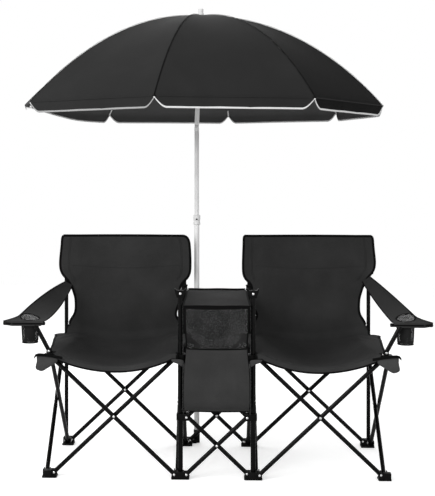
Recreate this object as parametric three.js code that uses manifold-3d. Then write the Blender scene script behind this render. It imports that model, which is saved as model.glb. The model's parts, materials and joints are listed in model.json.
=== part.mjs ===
// A double folding camp chair with a table, a storage bag and an umbrella, as a three.js scene graph.
// Millimetres, +Z up. +X is the picture's right, and +Y points to the rear.
// Every length below is a real size; the frame's middle plane is x = 0 until the last group shifts it.

import * as THREE from "three";
import { mergeVertices } from "three/addons/utils/BufferGeometryUtils.js";
import Module from "manifold-3d";

const wasm = await Module();
wasm.setup();

// Driving sizes of the folding frame
const braceSpan = 449; // between the two lower pivots of a chair's X, and of its side X
const footPivotHeight = 18;
const seatPivotHeight = 442;
const tubeRadius = 8;
const tubeWall = 1.2;
const tubeOverhang = 5.5; // tube past its end pivot
const pinRadius = 2.5;
const runningGap = 0.3; // between pieces that touch or turn
const tubeGap = 0.4; // between two tubes that cross
const cut = 1; // overrun of every cutting tool

// Places of posts and pivots
const pivotInset = 23; // post to X pivot, along x
const centreInset = 22.75; // post to centre X pivot, along x
const sideInset = 25.5; // post to side pivot, along y
const frontPostRadius = 9.5;
const rearPostRadius = 8;
const middleHeight = (footPivotHeight + seatPivotHeight) / 2;
const centrePivotX = braceSpan / 4;
const innerPostX = centrePivotX + centreInset;
const innerPivotX = innerPostX + pivotInset;
const outerPivotX = innerPivotX + braceSpan;
const outerPostX = outerPivotX + pivotInset;
const sidePivotY = braceSpan / 2;
const postY = sidePivotY + sideInset;

// Planes that keep crossing tubes apart
const outerPlaneOffset = 6.7;
const outerPlane = postY + outerPlaneOffset;
const innerPlane = outerPlane - 2 * tubeRadius - tubeGap;
const outerSideOffset = 10;
const innerSideOffset = 4.6;
const planeStep = 2 * tubeRadius + tubeGap;
const innerSideRearPlane = innerPostX - innerSideOffset;
const innerSideFrontPlane = innerSideRearPlane + planeStep;

// Sizes of the plastic feet and hubs
const footHeight = 28;
const footFloor = 7;
const padHeight = 5;
const padMargin = 2;
const padCorner = 6;
const cheek = 4.6; // wall beside a tube's slot
const slotGap = 0.4; // each side of a tube in its slot
const bossReach = 9; // plastic past a pivot
const ringWall = 4.6; // plastic round a post
const hubBelow = 12; // seat hub under its pivots
const hubAbove = 19; // seat hub over its pivots
const hubRoof = 10; // underside of the roof over the pivots
const slidingHubHalf = 12; // centre hub over and under its pivots
const endReach = Math.hypot(tubeOverhang, tubeRadius);
const rivetStand = 1; // rivet past the tube that it holds
const tubeSides = 8;
const boreSides = 6;
const pinSides = 5;
const postSides = 16;
const poleSides = 20;
const holeRadius = (pinRadius + runningGap) / Math.cos(Math.PI / pinSides); // its flats clear a turning pin
const weldTolerance = 1e-4;

// Posts, caps and collars
const backPostTop = 866;
const tableHeight = 642;
const capBottom = 672;
const capHeight = 34;
const capHalfWidth = 22;
const capDepth = 24;
const capPostTop = 700;
const collarRise = 1; // collar over the table's cloth
const collarHeight = 22;
const collarRadius = 14;

// Arm supports and armrests
const armPivotInset = 18; // X pivot to arm pivot, along x
const armPivotX = outerPivotX + armPivotInset;
const armPivotRise = 10; // over the roof of the front outer hub
const armTopX = 680;
const armBarZ = 573;
const armBarRadius = 7;
const armBarInnerX = 640;
const armBarOuterX = 797;
const earThickness = 4;
const earRadius = 9;

// Cloth
const clothThickness = 2.5;
const backClothY = postY - rearPostRadius - runningGap;
const backTop = 872;
const seatHeight = 464;
const seatFrontY = -262;
const seatBendRadius = 36;
const backBow = 18;
const seatSagRear = 34;
const seatSagMiddle = 74;
const seatSagFront = 62;
const sleeveBottom = 690;

// Table and bag
const tableThickness = 3;
const hemDrop = 13;
const bagClearance = 0.9; // bag behind the front hubs' cheeks
const pocketTop = 480;
const bagBottom = 252;
const bagDepth = 38;
const bagHalfTop = 107;
const bagHalfBottom = 120;
const bagWall = 2.5;

// Umbrella
const poleX = -84;
const poleY = 285;
const poleLowerRadius = 11;
const poleLowerBore = 10;
const poleUpperRadius = 9.5;
const poleUpperBore = 8.3;
const socketRadius = 13;
const socketHeight = 55;
const socketFloor = 5;
const collarZ = 916;
const lockHeight = 41;
const lockRadius = 13.5;
const lockFlange = 15;
const lockFlangeHeight = 5;
const buttonZ = 940;
const buttonRadius = 3.4;
const buttonStand = 1.9;
const buttonTravel = 1.5;
const poleOverlap = 180;
const tiltZ = 1325;
const tiltDegrees = 2;
const ribCount = 8;
const ribPhaseDegrees = -11;
const rimRadius = 763;
const rimZ = 1413;
const apexZ = 1795;
const domeRadius = 1165;
const valanceDrop = 42;
const canopyThickness = 2;
const domeSteps = 8;
const notchWidth = 56;
const notchHeight = 36;
const ribRadius = 2.2;
const runnerZ = 1500;
const finialHeight = 31;
const finialRadius = 13.5;
const finialTopRadius = 9;

const steel = new THREE.MeshStandardMaterial({ color: 0x0d0d0e, metalness: 0.6, roughness: 0.35 });
const plastic = new THREE.MeshStandardMaterial({ color: 0x0a0a0a, metalness: 0, roughness: 0.6 });
const cloth = new THREE.MeshStandardMaterial({ color: 0x2e2e2f, metalness: 0, roughness: 0.95 });
const canopyCloth = new THREE.MeshStandardMaterial({ color: 0x29292b, metalness: 0, roughness: 0.9 });
const paleSteel = new THREE.MeshStandardMaterial({ color: 0xd6d6d4, metalness: 0.3, roughness: 0.4 });
const palePlastic = new THREE.MeshStandardMaterial({ color: 0xc9c9c7, metalness: 0, roughness: 0.5 });

// Solids: closed three.js geometries turned into exact bodies that can be joined and cut

function solidOf(geometry) {
  const bare = geometry.clone();
  bare.deleteAttribute("normal");
  bare.deleteAttribute("uv");
  const merged = mergeVertices(bare, weldTolerance);
  const mesh = new wasm.Mesh({
    numProp: 3,
    vertProperties: new Float32Array(merged.attributes.position.array),
    triVerts: new Uint32Array(merged.index.array),
  });
  return new wasm.Manifold(mesh);
}

function geometryOf(solid) {
  const mesh = solid.getMesh();
  const geometry = new THREE.BufferGeometry();
  geometry.setAttribute("position", new THREE.BufferAttribute(new Float32Array(mesh.vertProperties), 3));
  geometry.setIndex(new THREE.BufferAttribute(new Uint32Array(mesh.triVerts), 1));
  const flat = geometry.toNonIndexed();
  flat.computeVertexNormals();
  return flat;
}

function join(...solids) {
  return solids.reduce((sum, next) => sum.add(next));
}

function box(x, y, z) {
  const [x0, x1] = [Math.min(...x), Math.max(...x)];
  const [y0, y1] = [Math.min(...y), Math.max(...y)];
  const [z0, z1] = [Math.min(...z), Math.max(...z)];
  const geometry = new THREE.BoxGeometry(x1 - x0, y1 - y0, z1 - z0);
  geometry.translate((x0 + x1) / 2, (y0 + y1) / 2, (z0 + z1) / 2);
  return solidOf(geometry);
}

// A rod from one point to another
function rod(from, to, radius, sides = 12, endRadius = radius) {
  const start = new THREE.Vector3(...from);
  const run = new THREE.Vector3(...to).sub(start);
  const geometry = new THREE.CylinderGeometry(endRadius, radius, run.length(), sides);
  geometry.translate(0, run.length() / 2, 0);
  const turn = new THREE.Quaternion().setFromUnitVectors(new THREE.Vector3(0, 1, 0), run.normalize());
  geometry.applyQuaternion(turn);
  geometry.translate(start.x, start.y, start.z);
  return solidOf(geometry);
}

// A rod through a row of points that lie in one upright plane; `beside` is square to that plane
function bentRod(points, beside, radius, sides) {
  const places = points.map((point) => new THREE.Vector3(...point));
  const positions = [];
  places.forEach((place, i) => {
    const before = places[Math.max(0, i - 1)];
    const after = places[Math.min(places.length - 1, i + 1)];
    const over = new THREE.Vector3().crossVectors(after.clone().sub(before).normalize(), beside);
    for (let j = 0; j < sides; j++) {
      const turn = (2 * Math.PI * j) / sides;
      const point = place
        .clone()
        .addScaledVector(beside, radius * Math.cos(turn))
        .addScaledVector(over, radius * Math.sin(turn));
      positions.push(point.x, point.y, point.z);
    }
  });
  const index = [];
  const last = (places.length - 1) * sides;
  for (let j = 0; j < sides; j++) {
    const next = (j + 1) % sides;
    for (let i = 0; i < last; i += sides) {
      index.push(i + j, i + next, i + sides + j);
      index.push(i + next, i + sides + next, i + sides + j);
    }
    if (j > 0 && next > 0) {
      index.push(0, next, j);
      index.push(last, last + j, last + next);
    }
  }
  return facingOut(positions, index);
}

// A closed solid from points and triangles, whichever way round the triangles were listed
function facingOut(positions, index) {
  const geometry = new THREE.BufferGeometry();
  geometry.setAttribute("position", new THREE.Float32BufferAttribute(positions, 3));
  geometry.setIndex(index);
  const solid = solidOf(geometry);
  if (solid.volume() > 0) {
    return solid;
  }
  const turned = [];
  for (let k = 0; k < index.length; k += 3) {
    turned.push(index[k + 1], index[k], index[k + 2]);
  }
  geometry.setIndex(turned);
  return solidOf(geometry);
}

// A pin or a hole along x or y, through `point`, from one place on that axis to another
function pin(point, axis, from, to, radius, sides = 8) {
  const start = [...point];
  const end = [...point];
  start[axis] = Math.min(from, to);
  end[axis] = Math.max(from, to);
  return rod(start, end, radius, sides);
}

// An upright plate: outline points in (x, z), pushed from one y to another
function platePushedAlongY(points, y0, y1) {
  const shape = new THREE.Shape(points.map(([x, z]) => new THREE.Vector2(x, z)));
  const geometry = new THREE.ExtrudeGeometry(shape, { depth: Math.abs(y1 - y0), bevelEnabled: false });
  geometry.rotateX(Math.PI / 2);
  geometry.translate(0, Math.max(y0, y1), 0);
  return solidOf(geometry);
}

function roundedPad(x, y, height) {
  const [x0, x1] = [Math.min(...x), Math.max(...x)];
  const [y0, y1] = [Math.min(...y), Math.max(...y)];
  const r = padCorner;
  const shape = new THREE.Shape();
  shape.moveTo(x0 + r, y0);
  shape.lineTo(x1 - r, y0);
  shape.absarc(x1 - r, y0 + r, r, -Math.PI / 2, 0);
  shape.lineTo(x1, y1 - r);
  shape.absarc(x1 - r, y1 - r, r, 0, Math.PI / 2);
  shape.lineTo(x0 + r, y1);
  shape.absarc(x0 + r, y1 - r, r, Math.PI / 2, Math.PI);
  shape.lineTo(x0, y0 + r);
  shape.absarc(x0 + r, y0 + r, r, Math.PI, 1.5 * Math.PI);
  return solidOf(new THREE.ExtrudeGeometry(shape, { depth: height, bevelEnabled: false, curveSegments: 2 }));
}

// Axis numbers, as in a point's list
const X = 0;
const Y = 1;
const Z = 2;

// A brace: a bored tube between two pivots, with a hole at each, and at its crossing a hole or a rivet.
// `across` is the axis of its pins, and `rivetTo` the far end of a rivet that it carries.
function brace(low, high, across, rivetTo = null) {
  const start = new THREE.Vector3(...low);
  const end = new THREE.Vector3(...high);
  const way = end.clone().sub(start).normalize();
  const first = start.clone().addScaledVector(way, -tubeOverhang).toArray();
  const last = end.clone().addScaledVector(way, tubeOverhang).toArray();
  const before = start.clone().addScaledVector(way, -tubeOverhang - cut).toArray();
  const after = end.clone().addScaledVector(way, tubeOverhang + cut).toArray();
  const middle = start.clone().add(end).divideScalar(2).toArray();
  const reach = tubeRadius + cut;
  const hole = (point) =>
    pin(point, across, point[across] - reach, point[across] + reach, holeRadius, pinSides);
  const bore = rod(before, after, tubeRadius - tubeWall, boreSides);
  const tube = rod(first, last, tubeRadius, tubeSides).subtract(join(bore, hole(low), hole(high)));
  if (rivetTo === null) {
    return tube.subtract(hole(middle));
  }
  const away = Math.sign(middle[across] - rivetTo) * (tubeRadius + rivetStand);
  return join(tube, pin(middle, across, middle[across] + away, rivetTo, pinRadius, pinSides));
}

// The far end of a rivet through the tube in the next plane
function rivetEnd(own, next) {
  return next + Math.sign(next - own) * (tubeRadius + rivetStand);
}

// The plastic round a post: its fork blocks, their slots and their pins.
// A fork is { across, pivot, open } where `open` is the direction, +1 or -1, that the tube leaves in.
function forkBlock(post, fork, z0, z1) {
  const [px, py] = fork.pivot;
  const half = tubeRadius + slotGap + cheek;
  if (fork.across === Y) {
    return box([post[X], px + fork.open * bossReach], [py - half, (fork.second ?? py) + half], [z0, z1]);
  }
  return box([px - half, px + half], [post[Y], py + fork.open * bossReach], [z0, z1]);
}

function forkSlot(fork, z0, z1) {
  const [px, py] = fork.pivot;
  const half = tubeRadius + slotGap;
  const shut = -fork.open * (endReach + slotGap);
  const mouth = fork.open * (bossReach + cut);
  if (fork.across === Y) {
    return box([px + shut, px + mouth], [py - half, (fork.second ?? py) + half], [z0, z1]);
  }
  return box([px - half, px + half], [py + shut, py + mouth], [z0, z1]);
}

function forkPin(fork, z) {
  const [px, py] = fork.pivot;
  const half = tubeRadius + slotGap + cheek;
  const axisMiddle = fork.across === Y ? py : px;
  const far = fork.across === Y ? (fork.second ?? py) : px;
  return pin([px, py, z], fork.across, axisMiddle - half, far + half, pinRadius, pinSides);
}

function ring(post, radius, z0, z1) {
  const half = radius + ringWall;
  return box([post[X] - half, post[X] + half], [post[Y] - half, post[Y] + half], [z0, z1]);
}

// A foot: open above and outward, with a floor under its tubes, standing on a wider pad
function foot(post, forks, radius) {
  const blocks = forks.map((fork) => forkBlock(post, fork, 0, footHeight));
  const bounds = join(...blocks, ring(post, radius, 0, footHeight));
  const limits = bounds.boundingBox();
  const pad = roundedPad(
    [limits.min[X] - padMargin, limits.max[X] + padMargin],
    [limits.min[Y], limits.max[Y]],
    padHeight,
  );
  const slots = forks.map((fork) => forkSlot(fork, footFloor, footHeight + cut));
  const pins = forks.map((fork) => forkPin(fork, footPivotHeight));
  return join(bounds.subtract(join(...slots)), pad, ...pins);
}

// A seat hub: open below and outward, with a roof, sliding on its post where there is one
function seatHub(post, forks, radius, slides) {
  const z0 = seatPivotHeight - hubBelow;
  const z1 = seatPivotHeight + hubAbove;
  const blocks = forks.map((fork) => forkBlock(post, fork, z0, z1));
  const slots = forks.map((fork) => forkSlot(fork, z0 - cut, seatPivotHeight + hubRoof));
  const pins = forks.map((fork) => forkPin(fork, seatPivotHeight));
  const body = join(ring(post, radius, z0, z1), ...blocks).subtract(join(...slots));
  const hub = join(body, ...pins);
  if (!slides) {
    return hub;
  }
  return hub.subtract(rod([...post, z0 - cut], [...post, z1 + cut], radius + runningGap, postSides));
}

// A sliding hub of the centre X: one pin holds the lower X's top and the upper X's bottom
function slidingHub(post, fork, radius) {
  const z0 = middleHeight - slidingHubHalf;
  const z1 = middleHeight + slidingHubHalf;
  const body = join(ring(post, radius, z0, z1), forkBlock(post, fork, z0, z1));
  const open = body.subtract(forkSlot(fork, z0 - cut, z1 + cut));
  const hub = join(open, forkPin(fork, middleHeight));
  return hub.subtract(rod([...post, z0 - cut], [...post, z1 + cut], radius + runningGap, postSides));
}

const frame = new THREE.Group();

function put(name, solid, material) {
  const mesh = new THREE.Mesh(geometryOf(solid), material);
  mesh.name = name;
  frame.add(mesh);
}

// Corner places. side is -1 on the left and +1 on the right; end is +1 at the rear and -1 in front.

// The outer side X is one assembly that isn't mirrored, so its two planes change places on the right
function outerSidePlanes(side) {
  const near = outerPostX - outerSideOffset;
  const far = near + planeStep;
  return side < 0 ? { rear: near, front: far } : { rear: far, front: near };
}

function outerCorner(side, end) {
  const post = [side * outerPostX, end * postY];
  const cross = end > 0 ? { low: outerPlane, high: innerPlane } : { low: innerPlane, high: outerPlane };
  const { rear, front } = outerSidePlanes(side);
  const sidePlane = end > 0 ? { low: rear, high: front } : { low: front, high: rear };
  const forks = (level) => [
    { across: Y, pivot: [side * outerPivotX, end * cross[level]], open: -side },
    { across: X, pivot: [side * sidePlane[level], end * sidePivotY], open: -end },
  ];
  return { post, low: forks("low"), high: forks("high") };
}

function innerCorner(side, end) {
  const post = [side * innerPostX, end * postY];
  const cross = end > 0 ? { low: innerPlane, high: outerPlane } : { low: outerPlane, high: innerPlane };
  const sidePlane =
    end > 0
      ? { low: innerSideRearPlane, high: innerSideFrontPlane }
      : { low: innerSideFrontPlane, high: innerSideRearPlane };
  // the centre tubes that start at the left foot lie in the outer plane, those of the right in the inner
  const centrePlane = { low: side < 0 ? outerPlane : innerPlane, high: side < 0 ? innerPlane : outerPlane };
  const forks = (level) => [
    { across: Y, pivot: [side * innerPivotX, end * cross[level]], open: side },
    { across: X, pivot: [side * sidePlane[level], end * sidePivotY], open: -end },
    { across: Y, pivot: [side * centrePivotX, end * centrePlane[level]], open: -side },
  ];
  return { post, low: forks("low"), high: forks("high") };
}

function backPost(x) {
  const post = [x, postY];
  return rod([...post, padHeight], [...post, backPostTop], rearPostRadius, postSides);
}

// The collar that a rear corner of the table hangs from, over the reach of the hub that slides below it
function tableCollar(x) {
  const post = [x, postY];
  const bottom = tableHeight + tableThickness + collarRise;
  return rod([...post, bottom], [...post, bottom + collarHeight], collarRadius, postSides);
}

// The winged cap on a front post
function postCap(x) {
  const y = -postY;
  const wingShares = [
    [-1, 1],
    [-0.6, 0.8],
    [0.6, 0.8],
    [1, 1],
    [0.86, 0.5],
    [0.6, 0],
    [-0.6, 0],
    [-0.86, 0.5],
  ];
  const outline = wingShares.map(([a, b]) => [x + a * capHalfWidth, capBottom + b * capHeight]);
  return platePushedAlongY(outline.reverse(), y - capDepth / 2, y + capDepth / 2);
}

function umbrellaSocket() {
  const place = [poleX, poleY];
  const cup = rod([...place, 0], [...place, socketHeight], socketRadius, poleSides);
  const arm = box(
    [-innerPostX, poleX],
    [postY + tubeRadius + outerPlaneOffset, poleY + socketRadius - cheek],
    [0, footHeight / 2],
  );
  const bore = rod([...place, socketFloor], [...place, socketHeight + cut], poleLowerRadius + runningGap, poleSides);
  return join(cup, arm).subtract(bore);
}

// Feet and posts
for (const side of [-1, 1]) {
  const word = side < 0 ? "left" : "right";
  const rearOuter = outerCorner(side, 1);
  const frontOuter = outerCorner(side, -1);
  const rearInner = innerCorner(side, 1);
  const frontInner = innerCorner(side, -1);

  const outerBack = join(foot(rearOuter.post, rearOuter.low, rearPostRadius), backPost(rearOuter.post[X]));
  put(word + "_rear_outer_post", outerBack, steel);

  let innerBack = join(
    foot(rearInner.post, rearInner.low, rearPostRadius),
    backPost(rearInner.post[X]),
    tableCollar(rearInner.post[X]),
  );
  if (side < 0) {
    innerBack = join(innerBack, umbrellaSocket());
  }
  put(word + "_rear_inner_post", innerBack, steel);

  put(word + "_front_outer_foot", foot(frontOuter.post, frontOuter.low, rearPostRadius), plastic);

  const [x, y] = frontInner.post;
  const innerFront = join(
    foot(frontInner.post, frontInner.low, frontPostRadius),
    rod([x, y, padHeight], [x, y, capPostTop], frontPostRadius, postSides),
    postCap(x),
  );
  put(word + "_front_inner_post", innerFront, steel);

  put(word + "_rear_outer_hub", seatHub(rearOuter.post, rearOuter.high, rearPostRadius, true), plastic);
  put(word + "_rear_inner_hub", seatHub(rearInner.post, rearInner.high, rearPostRadius, true), plastic);
  put(word + "_front_inner_hub", seatHub(frontInner.post, frontInner.high, frontPostRadius, true), plastic);
  put(word + "_front_outer_hub", armHub(side, frontOuter), plastic);
  put(word + "_arm_support", armSupport(side), steel);
}

// The front outer hub carries two ears and the pin that the arm support turns on
function armHub(side, corner) {
  const roof = seatPivotHeight + hubAbove;
  const z = roof + armPivotRise;
  const x = side * armPivotX;
  const hub = seatHub(corner.post, corner.high, rearPostRadius, false);
  const ears = [-1, 1].map((way) => {
    const y = -postY + way * (tubeRadius + slotGap + earThickness / 2);
    const plate = box([x - earRadius, x + earRadius], [y - earThickness / 2, y + earThickness / 2], [roof - cut, z]);
    return join(plate, pin([x, y, z], Y, y - earThickness / 2, y + earThickness / 2, earRadius, 12));
  });
  const reach = tubeRadius + slotGap + earThickness / 2;
  return join(hub, ...ears, pin([x, -postY, z], Y, -postY - reach, -postY + reach, pinRadius, pinSides));
}

function armSupport(side) {
  const roof = seatPivotHeight + hubAbove;
  const low = [side * armPivotX, -postY, roof + armPivotRise];
  const high = [side * armTopX, -postY, armBarZ];
  const way = new THREE.Vector3(...high).sub(new THREE.Vector3(...low)).normalize();
  const first = new THREE.Vector3(...low).addScaledVector(way, -tubeOverhang).toArray();
  const tube = rod(first, high, tubeRadius, 12);
  const bar = rod([side * armBarInnerX, -postY, armBarZ], [side * armBarOuterX, -postY, armBarZ], armBarRadius, 12);
  const reach = tubeRadius + cut;
  return join(tube, bar).subtract(pin(low, Y, -postY - reach, -postY + reach, holeRadius, pinSides));
}

// The X braces of the two chairs
for (const side of [-1, 1]) {
  const word = side < 0 ? "left" : "right";
  const spot = (x, y, z) => [side * x, y, z];
  const outerY = outerPlane;
  const innerY = innerPlane;
  put(
    word + "_rear_brace_from_outer",
    brace(
      spot(outerPivotX, outerY, footPivotHeight),
      spot(innerPivotX, outerY, seatPivotHeight),
      Y,
      rivetEnd(outerY, innerY),
    ),
    steel,
  );
  put(
    word + "_rear_brace_from_inner",
    brace(spot(innerPivotX, innerY, footPivotHeight), spot(outerPivotX, innerY, seatPivotHeight), Y),
    steel,
  );
  put(
    word + "_front_brace_from_inner",
    brace(
      spot(innerPivotX, -outerY, footPivotHeight),
      spot(outerPivotX, -outerY, seatPivotHeight),
      Y,
      rivetEnd(-outerY, -innerY),
    ),
    steel,
  );
  put(
    word + "_front_brace_from_outer",
    brace(spot(outerPivotX, -innerY, footPivotHeight), spot(innerPivotX, -innerY, seatPivotHeight), Y),
    steel,
  );
  const outerSide = outerSidePlanes(side);
  for (const [where, rearX, frontX] of [
    ["outer", outerSide.rear, outerSide.front],
    ["inner", innerSideRearPlane, innerSideFrontPlane],
  ]) {
    put(
      word + "_" + where + "_side_brace_from_rear",
      brace(
        spot(rearX, sidePivotY, footPivotHeight),
        spot(rearX, -sidePivotY, seatPivotHeight),
        X,
        rivetEnd(side * rearX, side * frontX),
      ),
      steel,
    );
    put(
      word + "_" + where + "_side_brace_from_front",
      brace(spot(frontX, -sidePivotY, footPivotHeight), spot(frontX, sidePivotY, seatPivotHeight), X),
      steel,
    );
  }
}

// The centre: two half-size X's, one over the other, at the rear and in front
for (const end of [1, -1]) {
  const word = end > 0 ? "rear" : "front";
  const far = end * outerPlane;
  const near = end * innerPlane;
  for (const [stage, low, high] of [
    ["lower", footPivotHeight, middleHeight],
    ["upper", middleHeight, seatPivotHeight],
  ]) {
    put(
      "centre_" + word + "_" + stage + "_brace_from_left",
      brace([-centrePivotX, far, low], [centrePivotX, far, high], Y, rivetEnd(far, near)),
      steel,
    );
    put(
      "centre_" + word + "_" + stage + "_brace_from_right",
      brace([centrePivotX, near, low], [-centrePivotX, near, high], Y),
      steel,
    );
  }
  for (const side of [-1, 1]) {
    const post = [side * innerPostX, end * postY];
    const planes = [end * innerPlane, end * outerPlane].sort((a, b) => a - b);
    const fork = { across: Y, pivot: [side * centrePivotX, planes[0]], second: planes[1], open: -side };
    const radius = end > 0 ? rearPostRadius : frontPostRadius;
    const name = "centre_" + word + "_hub_" + (side < 0 ? "left" : "right");
    put(name, slidingHub(post, fork, radius), plastic);
  }
}

// Cloth pieces

// A sheet as a closed solid: rows of points, each thickened along the direction that belongs to its row
function sheet(rows, thicken) {
  const across = rows[0].length;
  const points = [];
  rows.forEach((row, i) => row.forEach((point) => points.push(...point)));
  rows.forEach((row, i) => {
    row.forEach(([x, y, z]) => points.push(x + thicken[i][X], y + thicken[i][Y], z + thicken[i][Z]));
  });
  const count = rows.length * across;
  const index = [];
  const quad = (a, b, c, d) => index.push(a, b, c, a, c, d);
  for (let i = 0; i + 1 < rows.length; i++) {
    for (let j = 0; j + 1 < across; j++) {
      const a = i * across + j;
      quad(a, a + across, a + across + 1, a + 1);
      quad(count + a, count + a + 1, count + a + across + 1, count + a + across);
    }
    const left = i * across;
    const right = left + across - 1;
    quad(left, count + left, count + left + across, left + across);
    quad(right, right + across, count + right + across, count + right);
  }
  const lastRow = (rows.length - 1) * across;
  for (let j = 0; j + 1 < across; j++) {
    quad(j, j + 1, count + j + 1, count + j);
    quad(lastRow + j, count + lastRow + j, count + lastRow + j + 1, lastRow + j + 1);
  }
  return facingOut(points, index);
}

// Half widths of the sling on each side of a chair's middle, by height, as shares of the post-to-post half
const chairMiddleX = (innerPostX + outerPostX) / 2;
const chairHalf = (outerPostX - innerPostX) / 2;
const backOutlineShares = [
  // share of the way from seat to top, share of the half width
  [1, 1.03],
  [0.93, 1.08],
  [0.7, 1.1],
  [0.56, 1.06],
  [0.44, 0.92],
  [0.29, 0.84],
  [0.14, 0.86],
  [0.02, 0.97],
];
const seatOutlineShares = [
  // share of the way from front to rear, share of the half width
  [1, 1.06],
  [0.97, 1.15],
  [0.7, 1.1],
  [0.4, 1.04],
  [0.2, 1.01],
  [0.12, 1.06],
  [0.06, 1.14],
  [0, 1.15],
];
const columns = 12;

// How far the cloth hangs below its corners at a place across the chair; the corners lie on the hubs
function hang(share) {
  const flatShare = 0.77;
  const inner = Math.min(1, Math.abs(share) / flatShare);
  return 1 - inner * inner;
}

function slingRows() {
  const rows = [];
  const thicken = [];
  const add = (place, halfWidth, way) => {
    const row = [];
    for (let j = 0; j <= columns; j++) {
      const share = (2 * j) / columns - 1;
      row.push(place(share * halfWidth, (share * halfWidth) / chairHalf));
    }
    rows.push(row);
    thicken.push(way);
  };
  const bow = (share) => backBow * Math.max(0, hang(share));
  const forward = [0, -clothThickness, 0];
  for (const [rise, width] of backOutlineShares) {
    add(
      (x, share) => {
        const low = seatHeight - seatSagRear * hang(share) + seatBendRadius;
        return [x, backClothY + bow(share), low + rise * (backTop - low)];
      },
      width * chairHalf,
      forward,
    );
  }
  const bendSteps = 3;
  for (let k = 1; k < bendSteps; k++) {
    const angle = (k / bendSteps) * (Math.PI / 2);
    const pull = 1 - k / bendSteps;
    add(
      (x, share) => {
        const low = seatHeight - seatSagRear * hang(share);
        const y = backClothY - seatBendRadius * (1 - Math.cos(angle)) + bow(share) * pull;
        return [x, y, low + seatBendRadius * (1 - Math.sin(angle))];
      },
      chairHalf,
      [0, -clothThickness * Math.cos(angle), clothThickness * Math.sin(angle)],
    );
  }
  const rearY = backClothY - seatBendRadius;
  for (const [rear, width] of seatOutlineShares) {
    const middle = 4 * rear * (1 - rear);
    const straight = seatSagFront + (seatSagRear - seatSagFront) * rear;
    const sag = straight + middle * (seatSagMiddle - (seatSagFront + seatSagRear) / 2);
    add(
      (x, share) => [x, seatFrontY + rear * (rearY - seatFrontY), seatHeight - sag * hang(share)],
      width * chairHalf,
      [0, 0, clothThickness],
    );
  }
  return { rows, thicken };
}

function sling(side) {
  const { rows, thicken } = slingRows();
  const middle = side * chairMiddleX;
  const placed = rows.map((row) => row.map(([x, y, z]) => [middle + x, y, z]));
  let cloth = sheet(placed, thicken);
  const wall = clothThickness;
  for (const x of [innerPostX, outerPostX]) {
    const post = [side * x, postY];
    const sleeve = rod([...post, sleeveBottom], [...post, backPostTop], rearPostRadius + runningGap + wall, postSides);
    const bore = rod(
      [...post, sleeveBottom - cut],
      [...post, backPostTop + cut],
      rearPostRadius + runningGap,
      postSides,
    );
    cloth = join(cloth.subtract(bore), sleeve.subtract(bore));
  }
  // the corners are open round the front post and round the arm's ears
  const notchDepth = -postY + frontPostRadius + 2 * runningGap;
  const notches = join(
    box(
      [side * (innerPostX - 4 * frontPostRadius), side * (innerPostX + frontPostRadius + 2 * runningGap)],
      [seatFrontY - cut, notchDepth],
      [middleHeight, backTop],
    ),
    box(
      [side * (armPivotX - earRadius - slotGap), side * (armPivotX + earRadius + slotGap + tubeRadius)],
      [seatFrontY - cut, -postY + tubeRadius + slotGap + earThickness + slotGap],
      [middleHeight, backTop],
    ),
  );
  return cloth.subtract(notches);
}

// An armrest: a twisted, widening strip from the back post to the arm bar, with a net cup hanging from it.
// Its outer edge flares to the bar's end over the last stretch.
const armRearOuterZ = 692;
const armRearInnerZ = 664;
const armRearInnerX = 604;
const armRearOuterX = 634;
const armInnerX = 642;
const armOuterX = 757;
const armTipX = 797;
const armSag = 10; // of the inner edge between its ends
const cupX = 704;
const cupRadius = 35;
const cupWall = 2;
const cupBottom = 494;

function armrest(side) {
  const frontZ = armBarZ + armBarRadius + runningGap;
  const rearY = backClothY - clothThickness - runningGap;
  const frontY = -postY - armBarRadius;
  const flareShare = 0.93;
  const lengthShares = [0, 0.2, 0.4, 0.6, 0.8, flareShare, 1];
  const rows = [];
  const thicken = [];
  for (const t of lengthShares) {
    const y = rearY + t * (frontY - rearY);
    const sag = armSag * 4 * t * (1 - t);
    const innerZ = armRearInnerZ + t * (frontZ - armRearInnerZ) - sag;
    const outerZ = armRearOuterZ + t * (frontZ - armRearOuterZ);
    const inner = armRearInnerX + t * (armInnerX - armRearInnerX);
    const outer = t > flareShare ? armTipX : armRearOuterX + t * (armOuterX - armRearOuterX);
    rows.push([
      [side * inner, y, innerZ],
      [(side * (inner + outer)) / 2, y, (innerZ + outerZ) / 2],
      [side * outer, y, outerZ],
    ]);
    thicken.push([0, 0, clothThickness]);
  }
  const cupY = -postY + tubeRadius + runningGap + cupRadius;
  const slope = (armRearOuterZ - frontZ) / (rearY - frontY);
  const rimZHere = frontZ + slope * (cupY - frontY);
  const tilt = slope * cupRadius;
  const cup = rod([side * cupX, cupY, cupBottom], [side * cupX, cupY, rimZHere + tilt], cupRadius, postSides);
  const hollow = rod(
    [side * cupX, cupY, cupBottom + cupWall],
    [side * cupX, cupY, rimZHere + tilt + cupRadius],
    cupRadius - cupWall,
    postSides,
  );
  // the net stops at the strip
  const above = rows.map((row) => row.map(([x, y, z]) => [x, y, z + clothThickness]));
  const lid = sheet(above, above.map(() => [0, 0, armRearOuterZ]));
  return join(sheet(rows, thicken), cup).subtract(join(hollow, lid));
}

function tableTop() {
  const half = innerPostX - frontPostRadius - runningGap;
  const hubFace = outerPlane + tubeRadius + slotGap + cheek;
  const front = -hubFace - bagClearance - bagWall;
  const rear = postY + tubeRadius + outerPlaneOffset;
  const top = tableHeight + tableThickness;
  const cloth = join(
    box([-half, half], [front, rear], [tableHeight, top]),
    box([-half, half], [front, front + bagWall], [top - hemDrop, top]),
  );
  // the rear corners are cut out round the posts and their collars
  const cornerX = innerPostX - collarRadius - collarRise;
  const cornerY = postY - collarRadius - collarRise;
  const corners = join(
    box([cornerX, innerPostX], [cornerY, rear + cut], [tableHeight - cut, top + cut]),
    box([-innerPostX, -cornerX], [cornerY, rear + cut], [tableHeight - cut, top + cut]),
  );
  return cloth.subtract(corners);
}

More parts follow.
